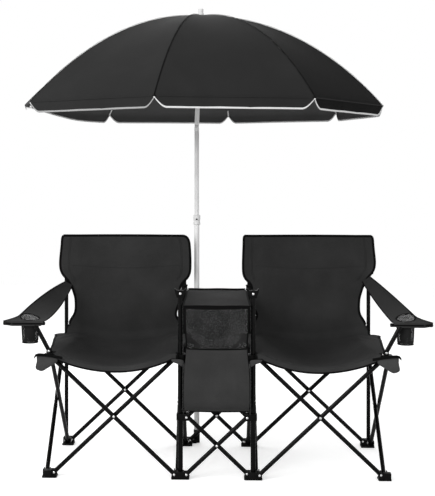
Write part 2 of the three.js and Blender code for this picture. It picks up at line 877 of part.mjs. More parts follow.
// A hanging bag: a tall net panel behind, and an open pocket in front of its lower part
function storageBag() {
  const hubFace = outerPlane + tubeRadius + slotGap + cheek;
  const back = -hubFace - bagClearance;
  const front = back - bagDepth;
  const top = tableHeight + tableThickness - hemDrop - runningGap;
  const panel = platePushedAlongY(
    [
      [-bagHalfTop, top],
      [-bagHalfBottom, bagBottom],
      [bagHalfBottom, bagBottom],
      [bagHalfTop, top],
    ],
    back - bagWall,
    back,
  );
  const share = (pocketTop - bagBottom) / (top - bagBottom);
  const pocketHalf = bagHalfBottom + share * (bagHalfTop - bagHalfBottom);
  const outline = (inset) => [
    [-pocketHalf + inset, pocketTop + (inset > 0 ? cut : 0)],
    [-bagHalfBottom + inset, bagBottom + inset],
    [bagHalfBottom - inset, bagBottom + inset],
    [pocketHalf - inset, pocketTop + (inset > 0 ? cut : 0)],
  ];
  const pocket = platePushedAlongY(outline(0), front, back);
  const hollow = platePushedAlongY(outline(bagWall), front + bagWall, back - bagWall);
  return join(panel, pocket).subtract(hollow);
}

for (const side of [-1, 1]) {
  const word = side < 0 ? "left" : "right";
  put(word + "_sling", sling(side), cloth);
  put(word + "_armrest", armrest(side), cloth);
}
put("table_top", tableTop(), cloth);
put("storage_bag", storageBag(), cloth);

// Umbrella

const pole = [poleX, poleY];
const lowerTop = collarZ + lockHeight - lockFlangeHeight;

function poleLower() {
  const tube = rod([...pole, socketFloor + runningGap], [...pole, lowerTop], poleLowerRadius, poleSides);
  const bore = rod([...pole, socketFloor], [...pole, lowerTop + cut], poleLowerBore, poleSides);
  const hole = pin([...pole, buttonZ], Y, poleY - poleLowerRadius - cut, poleY, buttonRadius + runningGap, 8);
  return tube.subtract(join(bore, hole));
}

function lockCollar() {
  const top = collarZ + lockHeight;
  const body = join(
    rod([...pole, collarZ], [...pole, top], lockRadius, poleSides),
    rod([...pole, top - lockFlangeHeight], [...pole, top], lockFlange, poleSides),
  );
  const bore = rod([...pole, collarZ - cut], [...pole, lowerTop + runningGap], poleLowerRadius + runningGap, poleSides);
  const neck = rod([...pole, collarZ], [...pole, top + cut], poleUpperRadius + runningGap, poleSides);
  const hole = pin([...pole, buttonZ], Y, poleY - lockFlange, poleY, buttonRadius + runningGap, 8);
  return body.subtract(join(bore, neck, hole));
}

function lockButton() {
  const rest = poleUpperRadius + 2 * runningGap + buttonTravel;
  return pin([...pole, buttonZ], Y, poleY - lockRadius - buttonStand, poleY - rest, buttonRadius, 8);
}

const tiltTongue = 6; // half thickness of the tongue along y
const tiltCheek = 3;
const tiltHalf = 12;

function poleUpper() {
  const bottom = lowerTop - poleOverlap;
  const neck = tiltZ - tiltHalf;
  const tube = rod([...pole, bottom], [...pole, neck], poleUpperRadius, poleSides);
  const bore = rod([...pole, bottom - cut], [...pole, neck - poleUpperRadius], poleUpperBore, 12);
  const inside = tiltTongue + runningGap;
  const outside = inside + tiltCheek;
  // round above the pin, so that the leaning mast clears them
  const cheeks = [-1, 1].map((way) => {
    const [near, far] = [poleY + way * inside, poleY + way * outside];
    return join(
      box([poleX - poleUpperRadius, poleX + poleUpperRadius], [near, far], [neck - cut, tiltZ]),
      pin([...pole, tiltZ], Y, near, far, poleUpperRadius, 12),
    );
  });
  const tiltPin = pin([...pole, tiltZ], Y, poleY - outside, poleY + outside, pinRadius, 8);
  return join(tube.subtract(bore), ...cheeks, tiltPin);
}

// Everything above the tilt joint is built upright and leans to +X by tiltDegrees. The cloth pulls the rim
// level, so each height is shifted sideways and none is turned.
function leaned(solid) {
  const lean = Math.tan(THREE.MathUtils.degToRad(tiltDegrees));
  const matrix = new THREE.Matrix4()
    .makeTranslation(poleX, poleY, tiltZ)
    .multiply(new THREE.Matrix4().makeShear(0, 0, 0, 0, lean, 0))
    .multiply(new THREE.Matrix4().makeTranslation(-poleX, -poleY, -tiltZ));
  return solidOf(geometryOf(solid).applyMatrix4(matrix));
}

// The dome's height over its rim at a distance from the pole: an arc through the apex and the rim
const arcCentreZ = apexZ - domeRadius;
function domeZ(r) {
  return arcCentreZ + Math.sqrt(domeRadius * domeRadius - r * r);
}
const domeDrop = domeZ(rimRadius) - rimZ;

function surfaceZ(r) {
  return domeZ(r) - (domeDrop * r * r) / (rimRadius * rimRadius);
}

function ribAngle(k) {
  const step = (2 * Math.PI) / ribCount;
  return THREE.MathUtils.degToRad(ribPhaseDegrees - 90) + k * step;
}

function spot(r, angle, z) {
  return [poleX + r * Math.cos(angle), poleY + r * Math.sin(angle), z];
}

// The canopy: eight flat-chorded panels with a hanging valance, notched at the ribs
function canopy() {
  const steps = domeSteps;
  const profile = [];
  for (let k = 0; k <= steps; k++) {
    const r = (rimRadius * k) / steps;
    profile.push([r, surfaceZ(r)]);
  }
  profile.push([rimRadius, rimZ - valanceDrop]);
  const inner = [[rimRadius - canopyThickness, rimZ - valanceDrop]];
  for (let k = steps; k >= 0; k--) {
    const r = Math.min((rimRadius * k) / steps, rimRadius - canopyThickness);
    inner.push([r, ridgeZ(r) - canopyThickness]);
  }
  const points = [...profile, ...inner].map(([r, z]) => new THREE.Vector2(r, z)).reverse();
  const geometry = new THREE.LatheGeometry(points, ribCount);
  geometry.rotateX(Math.PI / 2);
  geometry.rotateZ(ribAngle(0) + Math.PI / 2);
  geometry.translate(poleX, poleY, 0);
  let solid = solidOf(geometry);
  const bottom = rimZ - valanceDrop;
  for (let k = 0; k < ribCount; k++) {
    const angle = ribAngle(k);
    const half = notchWidth / 2;
    const outline = [
      [-half, bottom - cut],
      [half, bottom - cut],
      [half / 4, bottom + notchHeight],
      [-half / 4, bottom + notchHeight],
    ];
    const shape = new THREE.Shape(outline.map(([a, z]) => new THREE.Vector2(a, z)));
    const wedge = new THREE.ExtrudeGeometry(shape, { depth: rimRadius / 2, bevelEnabled: false });
    wedge.rotateX(Math.PI / 2);
    wedge.translate(0, rimRadius + rimRadius / 4, 0);
    wedge.rotateZ(angle - Math.PI / 2);
    wedge.translate(poleX, poleY, 0);
    solid = solid.subtract(solidOf(wedge));
  }
  return solid;
}

const crownRadius = 22;
const crownHeight = 16;

// How far a rib's middle lies under the cloth's ridge: the ridge slopes along the rib and falls away beside it
function ribDepth(r) {
  const slope = r / Math.sqrt(domeRadius * domeRadius - r * r) + (2 * domeDrop * r) / (rimRadius * rimRadius);
  const beside = slope * Math.tan(Math.PI / ribCount) * ribRadius;
  return canopyThickness + (ribRadius + 2 * runningGap) * Math.hypot(1, slope) + beside;
}

// The cloth's ridge is straight between the rings of the dome, and the rib is bent at the same places
function ridgeZ(r) {
  const step = rimRadius / domeSteps;
  const ring = Math.min(domeSteps - 1, Math.floor(r / step));
  const part = r / step - ring;
  return (1 - part) * surfaceZ(ring * step) + part * surfaceZ((ring + 1) * step);
}

function ribPoint(k, r) {
  return spot(r, ribAngle(k), ridgeZ(r) - ribDepth(r));
}

function ribRadii() {
  const end = rimRadius - 2 * ribRadius - canopyThickness;
  const radii = [crownRadius / 2];
  for (let k = 1; k < domeSteps; k++) {
    radii.push((rimRadius * k) / domeSteps);
  }
  return [...radii, end];
}

function umbrellaTop() {
  const top = surfaceZ(0) - canopyThickness - 2 * runningGap - ribRadius;
  const start = tiltZ + tiltHalf;
  const mast = rod([...pole, start], [...pole, top], poleUpperRadius, postSides);
  const tongue = join(
    box(
      [poleX - poleUpperRadius + runningGap, poleX + poleUpperRadius - runningGap],
      [poleY - tiltTongue, poleY + tiltTongue],
      [tiltZ, start + cut],
    ),
    pin([...pole, tiltZ], Y, poleY - tiltTongue, poleY + tiltTongue, poleUpperRadius - runningGap, 12),
  ).subtract(pin([...pole, tiltZ], Y, poleY - tiltTongue - cut, poleY + tiltTongue + cut, pinRadius + runningGap, 8));
  const crown = rod([...pole, top - crownHeight], [...pole, top], crownRadius, postSides);
  const ribs = [];
  for (let k = 0; k < ribCount; k++) {
    const beside = new THREE.Vector3(-Math.sin(ribAngle(k)), Math.cos(ribAngle(k)), 0);
    ribs.push(bentRod(ribRadii().map((r) => ribPoint(k, r)), beside, ribRadius, 6));
  }
  return join(mast, tongue, crown, ...ribs);
}

const runnerHeight = 34;
const runnerRadius = 19;
const stretcherShare = 0.52;

function runner() {
  const z0 = runnerZ - runnerHeight / 2;
  const z1 = runnerZ + runnerHeight / 2;
  const body = rod([...pole, z0], [...pole, z1], runnerRadius, postSides);
  const stretchers = [];
  for (let k = 0; k < ribCount; k++) {
    const [x, y, z] = ribPoint(k, stretcherShare * rimRadius);
    const slope = 2 * ribRadius + 2 * runningGap;
    stretchers.push(rod(spot(runnerRadius / 2 + poleUpperRadius, ribAngle(k), z1 - ribRadius), [x, y, z - slope], ribRadius, 6));
  }
  const bore = rod([...pole, z0 - cut], [...pole, z1 + cut], poleUpperRadius + runningGap, postSides);
  return join(body, ...stretchers).subtract(bore);
}

function finial() {
  const base = surfaceZ(0) + runningGap;
  return rod([...pole, base], [...pole, base + finialHeight], finialRadius, postSides, finialTopRadius);
}

put("umbrella_pole_lower", poleLower(), paleSteel);
put("umbrella_lock_collar", lockCollar(), palePlastic);
put("umbrella_lock_button", lockButton(), palePlastic);
put("umbrella_pole_upper", poleUpper(), paleSteel);
put("umbrella_ribs", leaned(umbrellaTop()), paleSteel);
put("umbrella_runner", leaned(runner()), palePlastic);
put("umbrella_canopy", leaned(canopy()), canopyCloth);
put("umbrella_finial", leaned(finial()), palePlastic);

// The origin is the ground point under the umbrella pole
frame.position.set(-poleX, -poleY, 0);
const chair = new THREE.Group();
chair.add(frame);

export default chair;
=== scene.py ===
# %% [markdown]
# # A double camp chair with a sun umbrella
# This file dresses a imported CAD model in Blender. The model comes in as a fixed frame: each CAD part
# is an object that rides on a body, and the bodies turn and slide about the real joints. The cells
# below add what CAD leaves out: round tubes, moulded feet, sewn cloth, a net and a sewn canopy.

# %% Load the frame
import json
import math
from contextlib import contextmanager

import bpy
from mathutils import Matrix, Vector

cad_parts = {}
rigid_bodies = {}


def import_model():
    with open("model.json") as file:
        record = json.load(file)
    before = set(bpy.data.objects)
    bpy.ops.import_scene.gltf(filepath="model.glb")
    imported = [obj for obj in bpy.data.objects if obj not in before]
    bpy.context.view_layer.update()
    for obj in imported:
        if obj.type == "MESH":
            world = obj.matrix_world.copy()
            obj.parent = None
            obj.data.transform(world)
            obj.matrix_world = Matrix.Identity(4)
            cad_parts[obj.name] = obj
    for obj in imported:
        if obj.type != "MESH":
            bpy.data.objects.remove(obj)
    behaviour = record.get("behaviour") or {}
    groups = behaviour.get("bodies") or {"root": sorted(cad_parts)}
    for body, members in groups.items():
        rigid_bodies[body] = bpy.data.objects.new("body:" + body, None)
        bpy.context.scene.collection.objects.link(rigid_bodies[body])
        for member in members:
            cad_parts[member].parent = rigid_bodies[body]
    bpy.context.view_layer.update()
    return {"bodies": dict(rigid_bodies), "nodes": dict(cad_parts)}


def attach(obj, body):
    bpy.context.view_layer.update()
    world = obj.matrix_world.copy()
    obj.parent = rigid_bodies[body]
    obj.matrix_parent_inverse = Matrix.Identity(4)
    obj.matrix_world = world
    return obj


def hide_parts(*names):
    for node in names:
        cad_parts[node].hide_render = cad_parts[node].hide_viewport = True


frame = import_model()

# %% [markdown]
# ## One set of sizes
# The CAD source is in millimetres, measured from the ground in the middle between the chairs. The
# frame in Blender is in metres, measured from the ground under the umbrella. One function turns the
# first into the second, so that every piece below can use the same numbers as the drawing.

# %% Sizes of the frame, in millimetres
MM = 0.001
POLE_X = -84
POLE_Y = 285
BRACE_SPAN = 449
FOOT_PIVOT_Z = 18
SEAT_PIVOT_Z = 442
MIDDLE_PIVOT_Z = (FOOT_PIVOT_Z + SEAT_PIVOT_Z) / 2
TUBE_RADIUS = 8
TUBE_WALL = 1.2
TUBE_OVERHANG = 5.5
TUBE_GAP = 0.4
PLANE_STEP = 2 * TUBE_RADIUS + TUBE_GAP
# From a post to the pivots that its hub carries.
CENTRE_HUB_REACH = 22.75
CHAIR_HUB_REACH = 23
SIDE_HUB_REACH = 25.5
CENTRE_PIVOT_X = BRACE_SPAN / 4
INNER_POST_X = CENTRE_PIVOT_X + CENTRE_HUB_REACH
INNER_PIVOT_X = INNER_POST_X + CHAIR_HUB_REACH
OUTER_PIVOT_X = INNER_PIVOT_X + BRACE_SPAN
OUTER_POST_X = OUTER_PIVOT_X + CHAIR_HUB_REACH
SIDE_PIVOT_Y = BRACE_SPAN / 2
POST_Y = SIDE_PIVOT_Y + SIDE_HUB_REACH
# The planes in which the tubes lie, from the middle of the posts.
OUTER_PLANE = POST_Y + 6.7
INNER_PLANE = OUTER_PLANE - PLANE_STEP
OUTER_SIDE_NEAR_X = OUTER_POST_X - 10
OUTER_SIDE_FAR_X = OUTER_SIDE_NEAR_X + PLANE_STEP
INNER_SIDE_REAR_X = INNER_POST_X - 4.6
INNER_SIDE_FRONT_X = INNER_SIDE_REAR_X + PLANE_STEP
FORK_CHEEK = 4.6
CHEEK_REACH = TUBE_RADIUS + TUBE_GAP + FORK_CHEEK
FOOT_HEIGHT = 28
REAR_POST_RADIUS = 8
FRONT_POST_RADIUS = 9.5
SIDES = {"left": -1, "right": 1}
ENDS = {"rear": 1, "front": -1}
# The outer tubes of each chair's end: the plane of the one from the rear foot, then the other's.
OUTER_SIDE_PLANES = {
    "left": (OUTER_SIDE_NEAR_X, OUTER_SIDE_FAR_X),
    "right": (OUTER_SIDE_FAR_X, OUTER_SIDE_NEAR_X),
}
ALONG_X = (1, 0, 0)
ALONG_Y = (0, 1, 0)
UPWARD = (0, 0, 1)


def place(x, y, z):
    """A place on the drawing, in millimetres, as a point of the frame in metres."""
    return Vector(((x - POLE_X) * MM, (y - POLE_Y) * MM, z * MM))


print("post to post", OUTER_POST_X - INNER_POST_X, "mm")

# %% [markdown]
# ## The camera
# The photo was taken from straight in front, level, a little over a metre above the ground. A level
# camera keeps the upright posts parallel, so the framing comes from the lens shift and not from a
# tilt. The distance fixes how much smaller the rear feet look than the front ones.

# %% Camera
CAMERA_Y = -4250
CAMERA_Z = 1138
CAMERA_PAN = math.radians(2)
LENS = 78.15
SENSOR = 36
SHIFT_ACROSS = 0.0016
SHIFT_DOWN = 0.153
bpy.ops.object.camera_add(
    location=place(0, CAMERA_Y, CAMERA_Z), rotation=(math.pi / 2, 0, CAMERA_PAN)
)
camera = bpy.context.object
camera.data.sensor_width = SENSOR
camera.data.lens = LENS
camera.data.shift_x = SHIFT_ACROSS + math.tan(CAMERA_PAN) * LENS / SENSOR
camera.data.shift_y = -SHIFT_DOWN
bpy.context.scene.camera = camera
bpy.context.scene.view_settings.view_transform = "Standard"
print("camera at", tuple(round(v, 3) for v in camera.location))

# %% [markdown]
# ## A shorthand for nodes
# The world, the floor and every material are node trees. In the editor each node is added from a
# menu and its sockets are joined by hand. Here one small class does both, so that a recipe reads
# from top to bottom.

# %% Nodes by name
class Wire:
    """Adds nodes to a tree and links them by name, to keep the recipes below short."""

    def __init__(self, tree):
        self.tree = tree

    def node(self, kind, settings=None, **sockets):
        """A node with its settings; a socket is named with _ for a space, or i and its number."""
        made = self.tree.nodes.new("ShaderNode" + kind)
        for key, value in (settings or {}).items():
            setattr(made, key, value)
        for key, value in sockets.items():
            self.feed(made, key.replace("_", " "), value)
        return made

    def feed(self, made, key, value):
        """Link a socket to another one, or give it a plain value."""
        by_number = key[0] == "i" and key[1:].isdigit()
        socket = made.inputs[int(key[1:]) if by_number else key]
        if isinstance(value, bpy.types.NodeSocket):
            self.tree.links.new(value, socket)
        else:
            socket.default_value = value

    def math(self, operation, a, b=0.5, clamp=False):
        settings = {"operation": operation, "use_clamp": clamp}
        return self.node("Math", settings, i0=a, i1=b).outputs[0]

    def ramp(self, value, low, high, bottom=0.0, top=1.0):
        limits = {"From_Min": low, "From_Max": high, "To_Min": bottom, "To_Max": top}
        return self.node("MapRange", Value=value, **limits).outputs[0]

    def blend(self, amount, a, b):
        return self.node("Mix", {"data_type": "RGBA"}, i0=amount, i6=a, i7=b).outputs[2]

    def noise(self, place_at, scale, detail, roughness=0.5):
        sockets = {"Vector": place_at, "Scale": scale, "Detail": detail, "Roughness": roughness}
        return self.node("TexNoise", **sockets).outputs["Fac"]


def new_material(name):
    """A material, with the shorthand for its tree and its shader."""
    material = bpy.data.materials.new(name)
    material.use_nodes = True
    return material, Wire(material.node_tree), material.node_tree.nodes["Principled BSDF"]


# %% [markdown]
# ## Light, floor and background
# A product photo on white has soft light from all round and one softer key from above. A bright sky
# does the first and three wide lamps do the second. The camera sees the sky and the floor as white by
# a separate path, so the light on the object stays plain.

# %% World
SKY_LEVEL = 0.62
WHITE = (1, 1, 1, 1)
world = bpy.data.worlds.new("studio_sky")
bpy.context.scene.world = world
world.use_nodes = True
world.node_tree.nodes.clear()
w = Wire(world.node_tree)
rays = w.node("LightPath").outputs
seen = w.math("ADD", rays["Is Camera Ray"], rays["Is Transmission Ray"])
seen_or_mirrored = w.math("ADD", seen, rays["Is Glossy Ray"], True)
light = w.node("Background", Color=WHITE, Strength=SKY_LEVEL).outputs[0]
backdrop = w.node("Background", Color=WHITE, Strength=1.0).outputs[0]
sky = w.node("MixShader", Fac=seen_or_mirrored, i1=light, i2=backdrop).outputs[0]
w.node("OutputWorld", Surface=sky)

# %% Lamps
# For each lamp: where it hangs, its width in metres and its power in watts.
LAMPS = {
    "key_lamp": ((-2300, -2900, 2500), 2.4, 120),
    "fill_lamp": ((2600, -2300, 1600), 3.0, 22),
    "rear_lamp": ((-600, 2600, 2600), 2.4, 40),
}
LIT_HEIGHT = 600
for name, (spot, width, power) in LAMPS.items():
    bpy.ops.object.light_add(type="AREA", location=place(*spot))
    lamp = bpy.context.object
    lamp.name = name
    aim = place(0, 0, LIT_HEIGHT) - place(*spot)
    lamp.rotation_euler = aim.to_track_quat("-Z", "Y").to_euler()
    lamp.data.size = width
    lamp.data.energy = power

# %% Floor
FLOOR_SIZE = (14, 12, 1)
FLOOR_MIDDLE = (0, 600, -0.6)
FLOOR_COLOR = (0.86, 0.86, 0.86, 1)
FLOOR_GLOW = 0.42
bpy.ops.mesh.primitive_plane_add(size=1, location=place(*FLOOR_MIDDLE))
floor = bpy.context.object
floor.name = "floor"
floor.scale = FLOOR_SIZE
floor_paint, w, shader = new_material("floor_paint")
for socket, value in (("Base Color", FLOOR_COLOR), ("Roughness", 0.6), ("Specular IOR Level", 0.15)):
    w.feed(shader, socket, value)
lit = shader.outputs[0]
glow = w.node("Emission", Strength=FLOOR_GLOW).outputs[0]
both = w.node("AddShader", i0=lit, i1=glow).outputs[0]
seen = w.node("LightPath").outputs["Is Camera Ray"]
shown = w.node("MixShader", Fac=seen, i1=lit, i2=both).outputs[0]
w.feed(w.tree.nodes["Material Output"], "Surface", shown)
floor.data.materials.append(floor_paint)

# %% [markdown]
# ## Small helpers for modelling
# With no window open, each operator acts on what the script has selected. So each helper first
# clears the selection, and each finished piece gets its place put into its mesh.

# %% Selection and finishing
def select_only(*objects):
    """Select these objects and nothing else; the first is the active one."""
    bpy.ops.object.select_all(action="DESELECT")
    for obj in objects:
        obj.select_set(True)
    bpy.context.view_layer.objects.active = objects[0]


@contextmanager
def editing(obj):
    """Edit mode with all of this object selected; object mode again at the end."""
    select_only(obj)
    bpy.ops.object.mode_set(mode="EDIT")
    bpy.ops.mesh.select_all(action="SELECT")
    yield
    bpy.ops.object.mode_set(mode="OBJECT")


def outward(obj):
    """Make every face point out of the closed piece."""
    with editing(obj):
        bpy.ops.mesh.normals_make_consistent(inside=False)


def settle(obj):
    """Put an object's place, turn and scale into its mesh."""
    select_only(obj)
    bpy.ops.object.transform_apply(location=True, rotation=True, scale=True)


def smooth(obj, degrees=35):
    """Smooth shading that breaks at edges sharper than the angle."""
    select_only(obj)
    bpy.ops.object.shade_smooth_by_angle(angle=math.radians(degrees))


def apply_all(obj):
    """Apply every modifier, in order."""
    select_only(obj)
    for modifier in list(obj.modifiers):
        bpy.ops.object.modifier_apply(modifier=modifier.name)


def rounded(obj, width, segments, degrees, clamped=True):
    """Round the edges that are sharper than the angle; a width in millimetres."""
    edge = obj.modifiers.new("rounded_edge", "BEVEL")
    edge.width = width * MM
    edge.segments = segments
    edge.limit_method = "ANGLE"
    edge.angle_limit = math.radians(degrees)
    edge.use_clamp_overlap = clamped
    apply_all(obj)


def pick_vertices(obj, test):
    """In edit mode, select the vertices that pass a test of their place, in millimetres."""
    bpy.ops.object.mode_set(mode="EDIT")
    bpy.ops.mesh.select_mode(type="VERT")
    bpy.ops.mesh.select_all(action="DESELECT")
    bpy.ops.object.mode_set(mode="OBJECT")
    for vertex in obj.data.vertices:
        vertex.select = bool(test(vertex.co / MM))
    bpy.ops.object.mode_set(mode="EDIT")


def disc(name, sides, radius):
    """A flat disc at the origin, from which a round piece is pushed up."""
    bpy.ops.object.select_all(action="DESELECT")
    bpy.ops.mesh.primitive_circle_add(vertices=sides, radius=radius * MM, fill_type="NGON")
    obj = bpy.context.object
    obj.name = name
    return obj


def push(x, y, z):
    """Extrude what is selected by a move in millimetres."""
    bpy.ops.mesh.extrude_region_move(TRANSFORM_OT_translate={"value": (x * MM, y * MM, z * MM)})


# %% New objects, copies and joined pieces
def turned_to(way):
    """The turn that takes the Z axis to a direction."""
    return Vector(way).to_track_quat("Z", "Y").to_matrix().to_4x4()


def in_scene(name, mesh):
    """An object with this mesh, at the origin."""
    obj = bpy.data.objects.new(name, mesh)
    bpy.context.scene.collection.objects.link(obj)
    return obj


def mesh_object(name, points, faces):
    """An object from a list of points in metres and a list of faces."""
    mesh = bpy.data.meshes.new(name)
    mesh.from_pydata(points, [], faces)
    return in_scene(name, mesh)


def copy_at(master, name, matrix):
    """A copy of a modelled piece, with its own mesh moved by a matrix."""
    mesh = master.data.copy()
    mesh.transform(matrix)
    return in_scene(name, mesh)


def joined(name, objects):
    """Several meshes as one piece."""
    select_only(*objects)
    bpy.ops.object.join()
    obj = bpy.context.object
    obj.name = name
    obj.data.name = name
    return obj


def dress(obj, material, body, stands_for=None):
    """A finished piece's material, the body it rides on and the CAD part it replaces."""
    obj.data.name = obj.name
    obj.data.materials.clear()
    obj.data.materials.append(material)
    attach(obj, body)
    if stands_for:
        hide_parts(stands_for)


# %% [markdown]
# ## Materials
# Real surfaces repeat a few effects: a woven thread, the orange peel of sprayed paint, the grain of
# moulded plastic, dust and rubbed edges. Each effect is built once, as a node group with named
# inputs, and each material places it with its own values.

# %% Groups and the materials made from them
def node_group(name, inputs, outputs):
    """An empty shader group; inputs are (name, type, value) and outputs are (name, type)."""
    group = bpy.data.node_groups.new(name, "ShaderNodeTree")
    for label, kind, value in inputs:
        socket = group.interface.new_socket(label, in_out="INPUT", socket_type="NodeSocket" + kind)
        socket.default_value = value
    for label, kind in outputs:
        group.interface.new_socket(label, in_out="OUTPUT", socket_type="NodeSocket" + kind)
    start, end = group.nodes.new("NodeGroupInput"), group.nodes.new("NodeGroupOutput")
    return group, Wire(group), start.outputs, end


def material_from(name, group, values, bump, strength, plain):
    """A material from one group: its values, how deep its bump is, and the shader's plain numbers."""
    material, w, shader = new_material(name)
    effect = w.node("Group", {"node_tree": group}, **values)
    for output, socket in (("Color", "Base Color"), ("Roughness", "Roughness"), ("Alpha", "Alpha")):
        if output in effect.outputs:
            w.feed(shader, socket, effect.outputs[output])
    height = effect.outputs["Height"]
    lift = w.node("Bump", Height=height, Distance=bump, Strength=strength)
    w.feed(shader, "Normal", lift.outputs[0])
    for socket, value in plain.items():
        shader.inputs[socket].default_value = value
    return material


def grey(value):
    """A neutral colour from one display value between 0 and 255."""
    share = value / 255
    linear = share / 12.92 if share <= 0.04045 else ((share + 0.055) / 1.055) ** 2.4
    return (linear, linear, linear, 1)


# %% [markdown]
# ### Woven cloth
# Camp chairs are sewn from coated polyester, a plain weave of threads about 0.6 mm apart. The cloth
# pieces carry a UV map in metres, so two sine waves across it make warp and weft at true size. The
# threads go over and under each other by turns, and a slow noise gives the uneven grey of real cloth.

# %% The weave group
def build_weave():
    """A woven surface: thread and gap colours, over and under, with uneven dye and dust."""
    group, w, start, end = node_group(
        "Plain Weave",
        [
            ("Thread Pitch", "Float", 0.0006),
            ("Thread Color", "Color", grey(46)),
            ("Gap Color", "Color", grey(30)),
            ("Unevenness", "Float", 0.15),
            ("Dust", "Float", 0.05),
        ],
        [("Color", "Color"), ("Roughness", "Float"), ("Height", "Float")],
    )
    pitch = start["Thread Pitch"]
    uv = w.node("UVMap", {"uv_map": "UVMap"}).outputs[0]
    parts = w.node("SeparateXYZ", Vector=uv).outputs
    waves = []
    for axis in (0, 1):
        turns_along = w.math("MULTIPLY", w.math("DIVIDE", parts[axis], pitch), math.pi)
        waves.append(w.math("ABSOLUTE", w.math("SINE", turns_along)))
    cells = w.node("TexChecker", Vector=uv, Color1=WHITE, Color2=(0, 0, 0, 1))
    w.feed(cells, "Scale", w.math("DIVIDE", 1.0, pitch))
    over = cells.outputs["Fac"]
    under = w.math("SUBTRACT", 1.0, over)
    height = w.math("ADD", w.math("MULTIPLY", waves[0], over), w.math("MULTIPLY", waves[1], under))
    coords = w.node("TexCoord").outputs["Object"]
    slow = w.noise(coords, 5.0, 4.0, 0.55)
    shade = w.blend(height, start["Gap Color"], start["Thread Color"])
    tone = w.ramp(slow, 0.3, 0.7, -1.0, 1.0)
    fleck = w.ramp(w.noise(coords, 420.0, 2.0), 0.35, 0.65, -0.6, 0.6)
    change = w.math("MULTIPLY", w.math("ADD", tone, fleck), start["Unevenness"])
    toned = w.node("HueSaturation", Color=shade, Value=w.math("ADD", 1.0, change)).outputs[0]
    dusty = w.math("MULTIPLY", w.ramp(slow, 0.45, 0.8), start["Dust"], True)
    w.feed(end, "Color", w.blend(dusty, toned, grey(120)))
    w.feed(end, "Roughness", w.ramp(height, 0.0, 1.0, 0.95, 0.8))
    w.feed(end, "Height", height)
    return group


WEAVE = build_weave()

# %% [markdown]
# ### Cloth materials
# The chair cloth is a dull charcoal, its binding tape a blacker, ribbed one, and the canopy a finer
# weave with more sheen. They are the same group with other values.

# %% Cloth, tape and canopy
def cloth_material(name, pitch, thread, gap, uneven, dust, sheen, bump=0.0003):
    """A cloth: its thread's pitch in metres, and the display values of thread and gap."""
    values = {
        "Thread_Pitch": pitch,
        "Thread_Color": grey(thread),
        "Gap_Color": grey(gap),
        "Unevenness": uneven,
        "Dust": dust,
    }
    plain = {"Specular IOR Level": 0.08, "Sheen Weight": sheen, "Sheen Roughness": 0.5}
    return material_from(name, WEAVE, values, bump, 0.6, plain)


CHAIR_CLOTH = cloth_material("chair_cloth", 0.0007, 50, 34, 0.14, 0.03, 0.015)
BINDING = cloth_material("binding_tape", 0.0011, 7, 3, 0.1, 0.004, 0.0)
POCKET_CLOTH = cloth_material("pocket_cloth", 0.0008, 64, 46, 0.14, 0.05, 0.02)
BAG_CLOTH = cloth_material("bag_cloth", 0.0008, 53, 38, 0.14, 0.04, 0.01)
TABLE_CLOTH = cloth_material("table_cloth_weave", 0.0008, 45, 33, 0.14, 0.04, 0.01)
CANOPY_CLOTH = cloth_material("canopy_cloth", 0.0004, 38, 31, 0.06, 0.015, 0.015, 0.0001)
# A darker copy of the canopy cloth for the front right panel: painted shade.
CANOPY_PAINTED_SHADE = cloth_material("canopy_cloth_painted_shade", 0.0004, 10, 7, 0.06, 0.002, 0.0, 0.0001)
# A lighter copy of the canopy cloth for the underside: painted light.
CANOPY_PAINTED_LIGHT = cloth_material("canopy_underside_painted_light", 0.0004, 80, 66, 0.06, 0.02, 0.0, 0.0001)
SILVER_TAPE = cloth_material("silver_piping", 0.0008, 226, 190, 0.05, 0.03, 0.2)
# A darker copy of the silver piping for the front left panel: painted shade.
PIPING_PAINTED_SHADE = cloth_material("silver_piping_painted_shade", 0.0008, 160, 130, 0.05, 0.03, 0.2)
THREAD = cloth_material("sewing_thread", 0.0003, 40, 22, 0.05, 0.0, 0.1)

# %% [markdown]
# ### Net
# The storage bag's upper panel and the cup holders are warp-knit net: you see through it, but it
# still reads as dark. The holes are cut by the Alpha value of the shader, from a grid of round gaps
# on the UV map, so the net costs no faces.

# %% The net group and material
def build_net():
    """A net of round holes in staggered rows, seen through between its cords."""
    group, w, start, end = node_group(
        "Knit Net",
        [("Hole Pitch", "Float", 0.003), ("Cord Width", "Float", 0.3), ("Cord Color", "Color", grey(24))],
        [("Color", "Color"), ("Alpha", "Float"), ("Height", "Float")],
    )
    uv = w.node("UVMap", {"uv_map": "UVMap"}).outputs[0]
    parts = w.node("SeparateXYZ", Vector=uv).outputs
    across, along = (w.math("DIVIDE", parts[axis], start["Hole Pitch"]) for axis in (0, 1))
    stagger = w.math("MULTIPLY", w.math("MODULO", w.math("FLOOR", along), 2.0), 0.5)
    x = w.math("SUBTRACT", w.math("FRACT", w.math("ADD", across, stagger)), 0.5)
    y = w.math("SUBTRACT", w.math("FRACT", along), 0.5)
    reach = w.math("SQRT", w.math("ADD", w.math("MULTIPLY", x, x), w.math("MULTIPLY", y, y)))
    rim = w.math("SUBTRACT", 0.5, start["Cord Width"])
    coords = w.node("TexCoord").outputs["Object"]
    level = w.ramp(w.noise(coords, 14.0, 3.0), 0.34, 0.66, 0.45, 1.7)
    toned = w.node("HueSaturation", Color=start["Cord Color"], Value=level).outputs[0]
    w.feed(end, "Color", toned)
    w.feed(end, "Alpha", w.math("GREATER_THAN", reach, rim))
    w.feed(end, "Height", w.ramp(reach, 0.2, 0.6))
    return group


KNIT_NET = build_net()


def net_material(name, pitch, width, tone):
    """A net: its holes' pitch in metres, the cord's width as a share of it, and its tone."""
    values = {"Hole_Pitch": pitch, "Cord_Width": width, "Cord_Color": grey(tone)}
    plain = {"Roughness": 0.8, "Specular IOR Level": 0.12}
    return material_from(name, KNIT_NET, values, 0.0005, 0.5, plain)


BAG_NET = net_material("bag_net", 0.0035, 0.44, 26)
CUP_NET = net_material("cup_net", 0.0032, 0.32, 24)

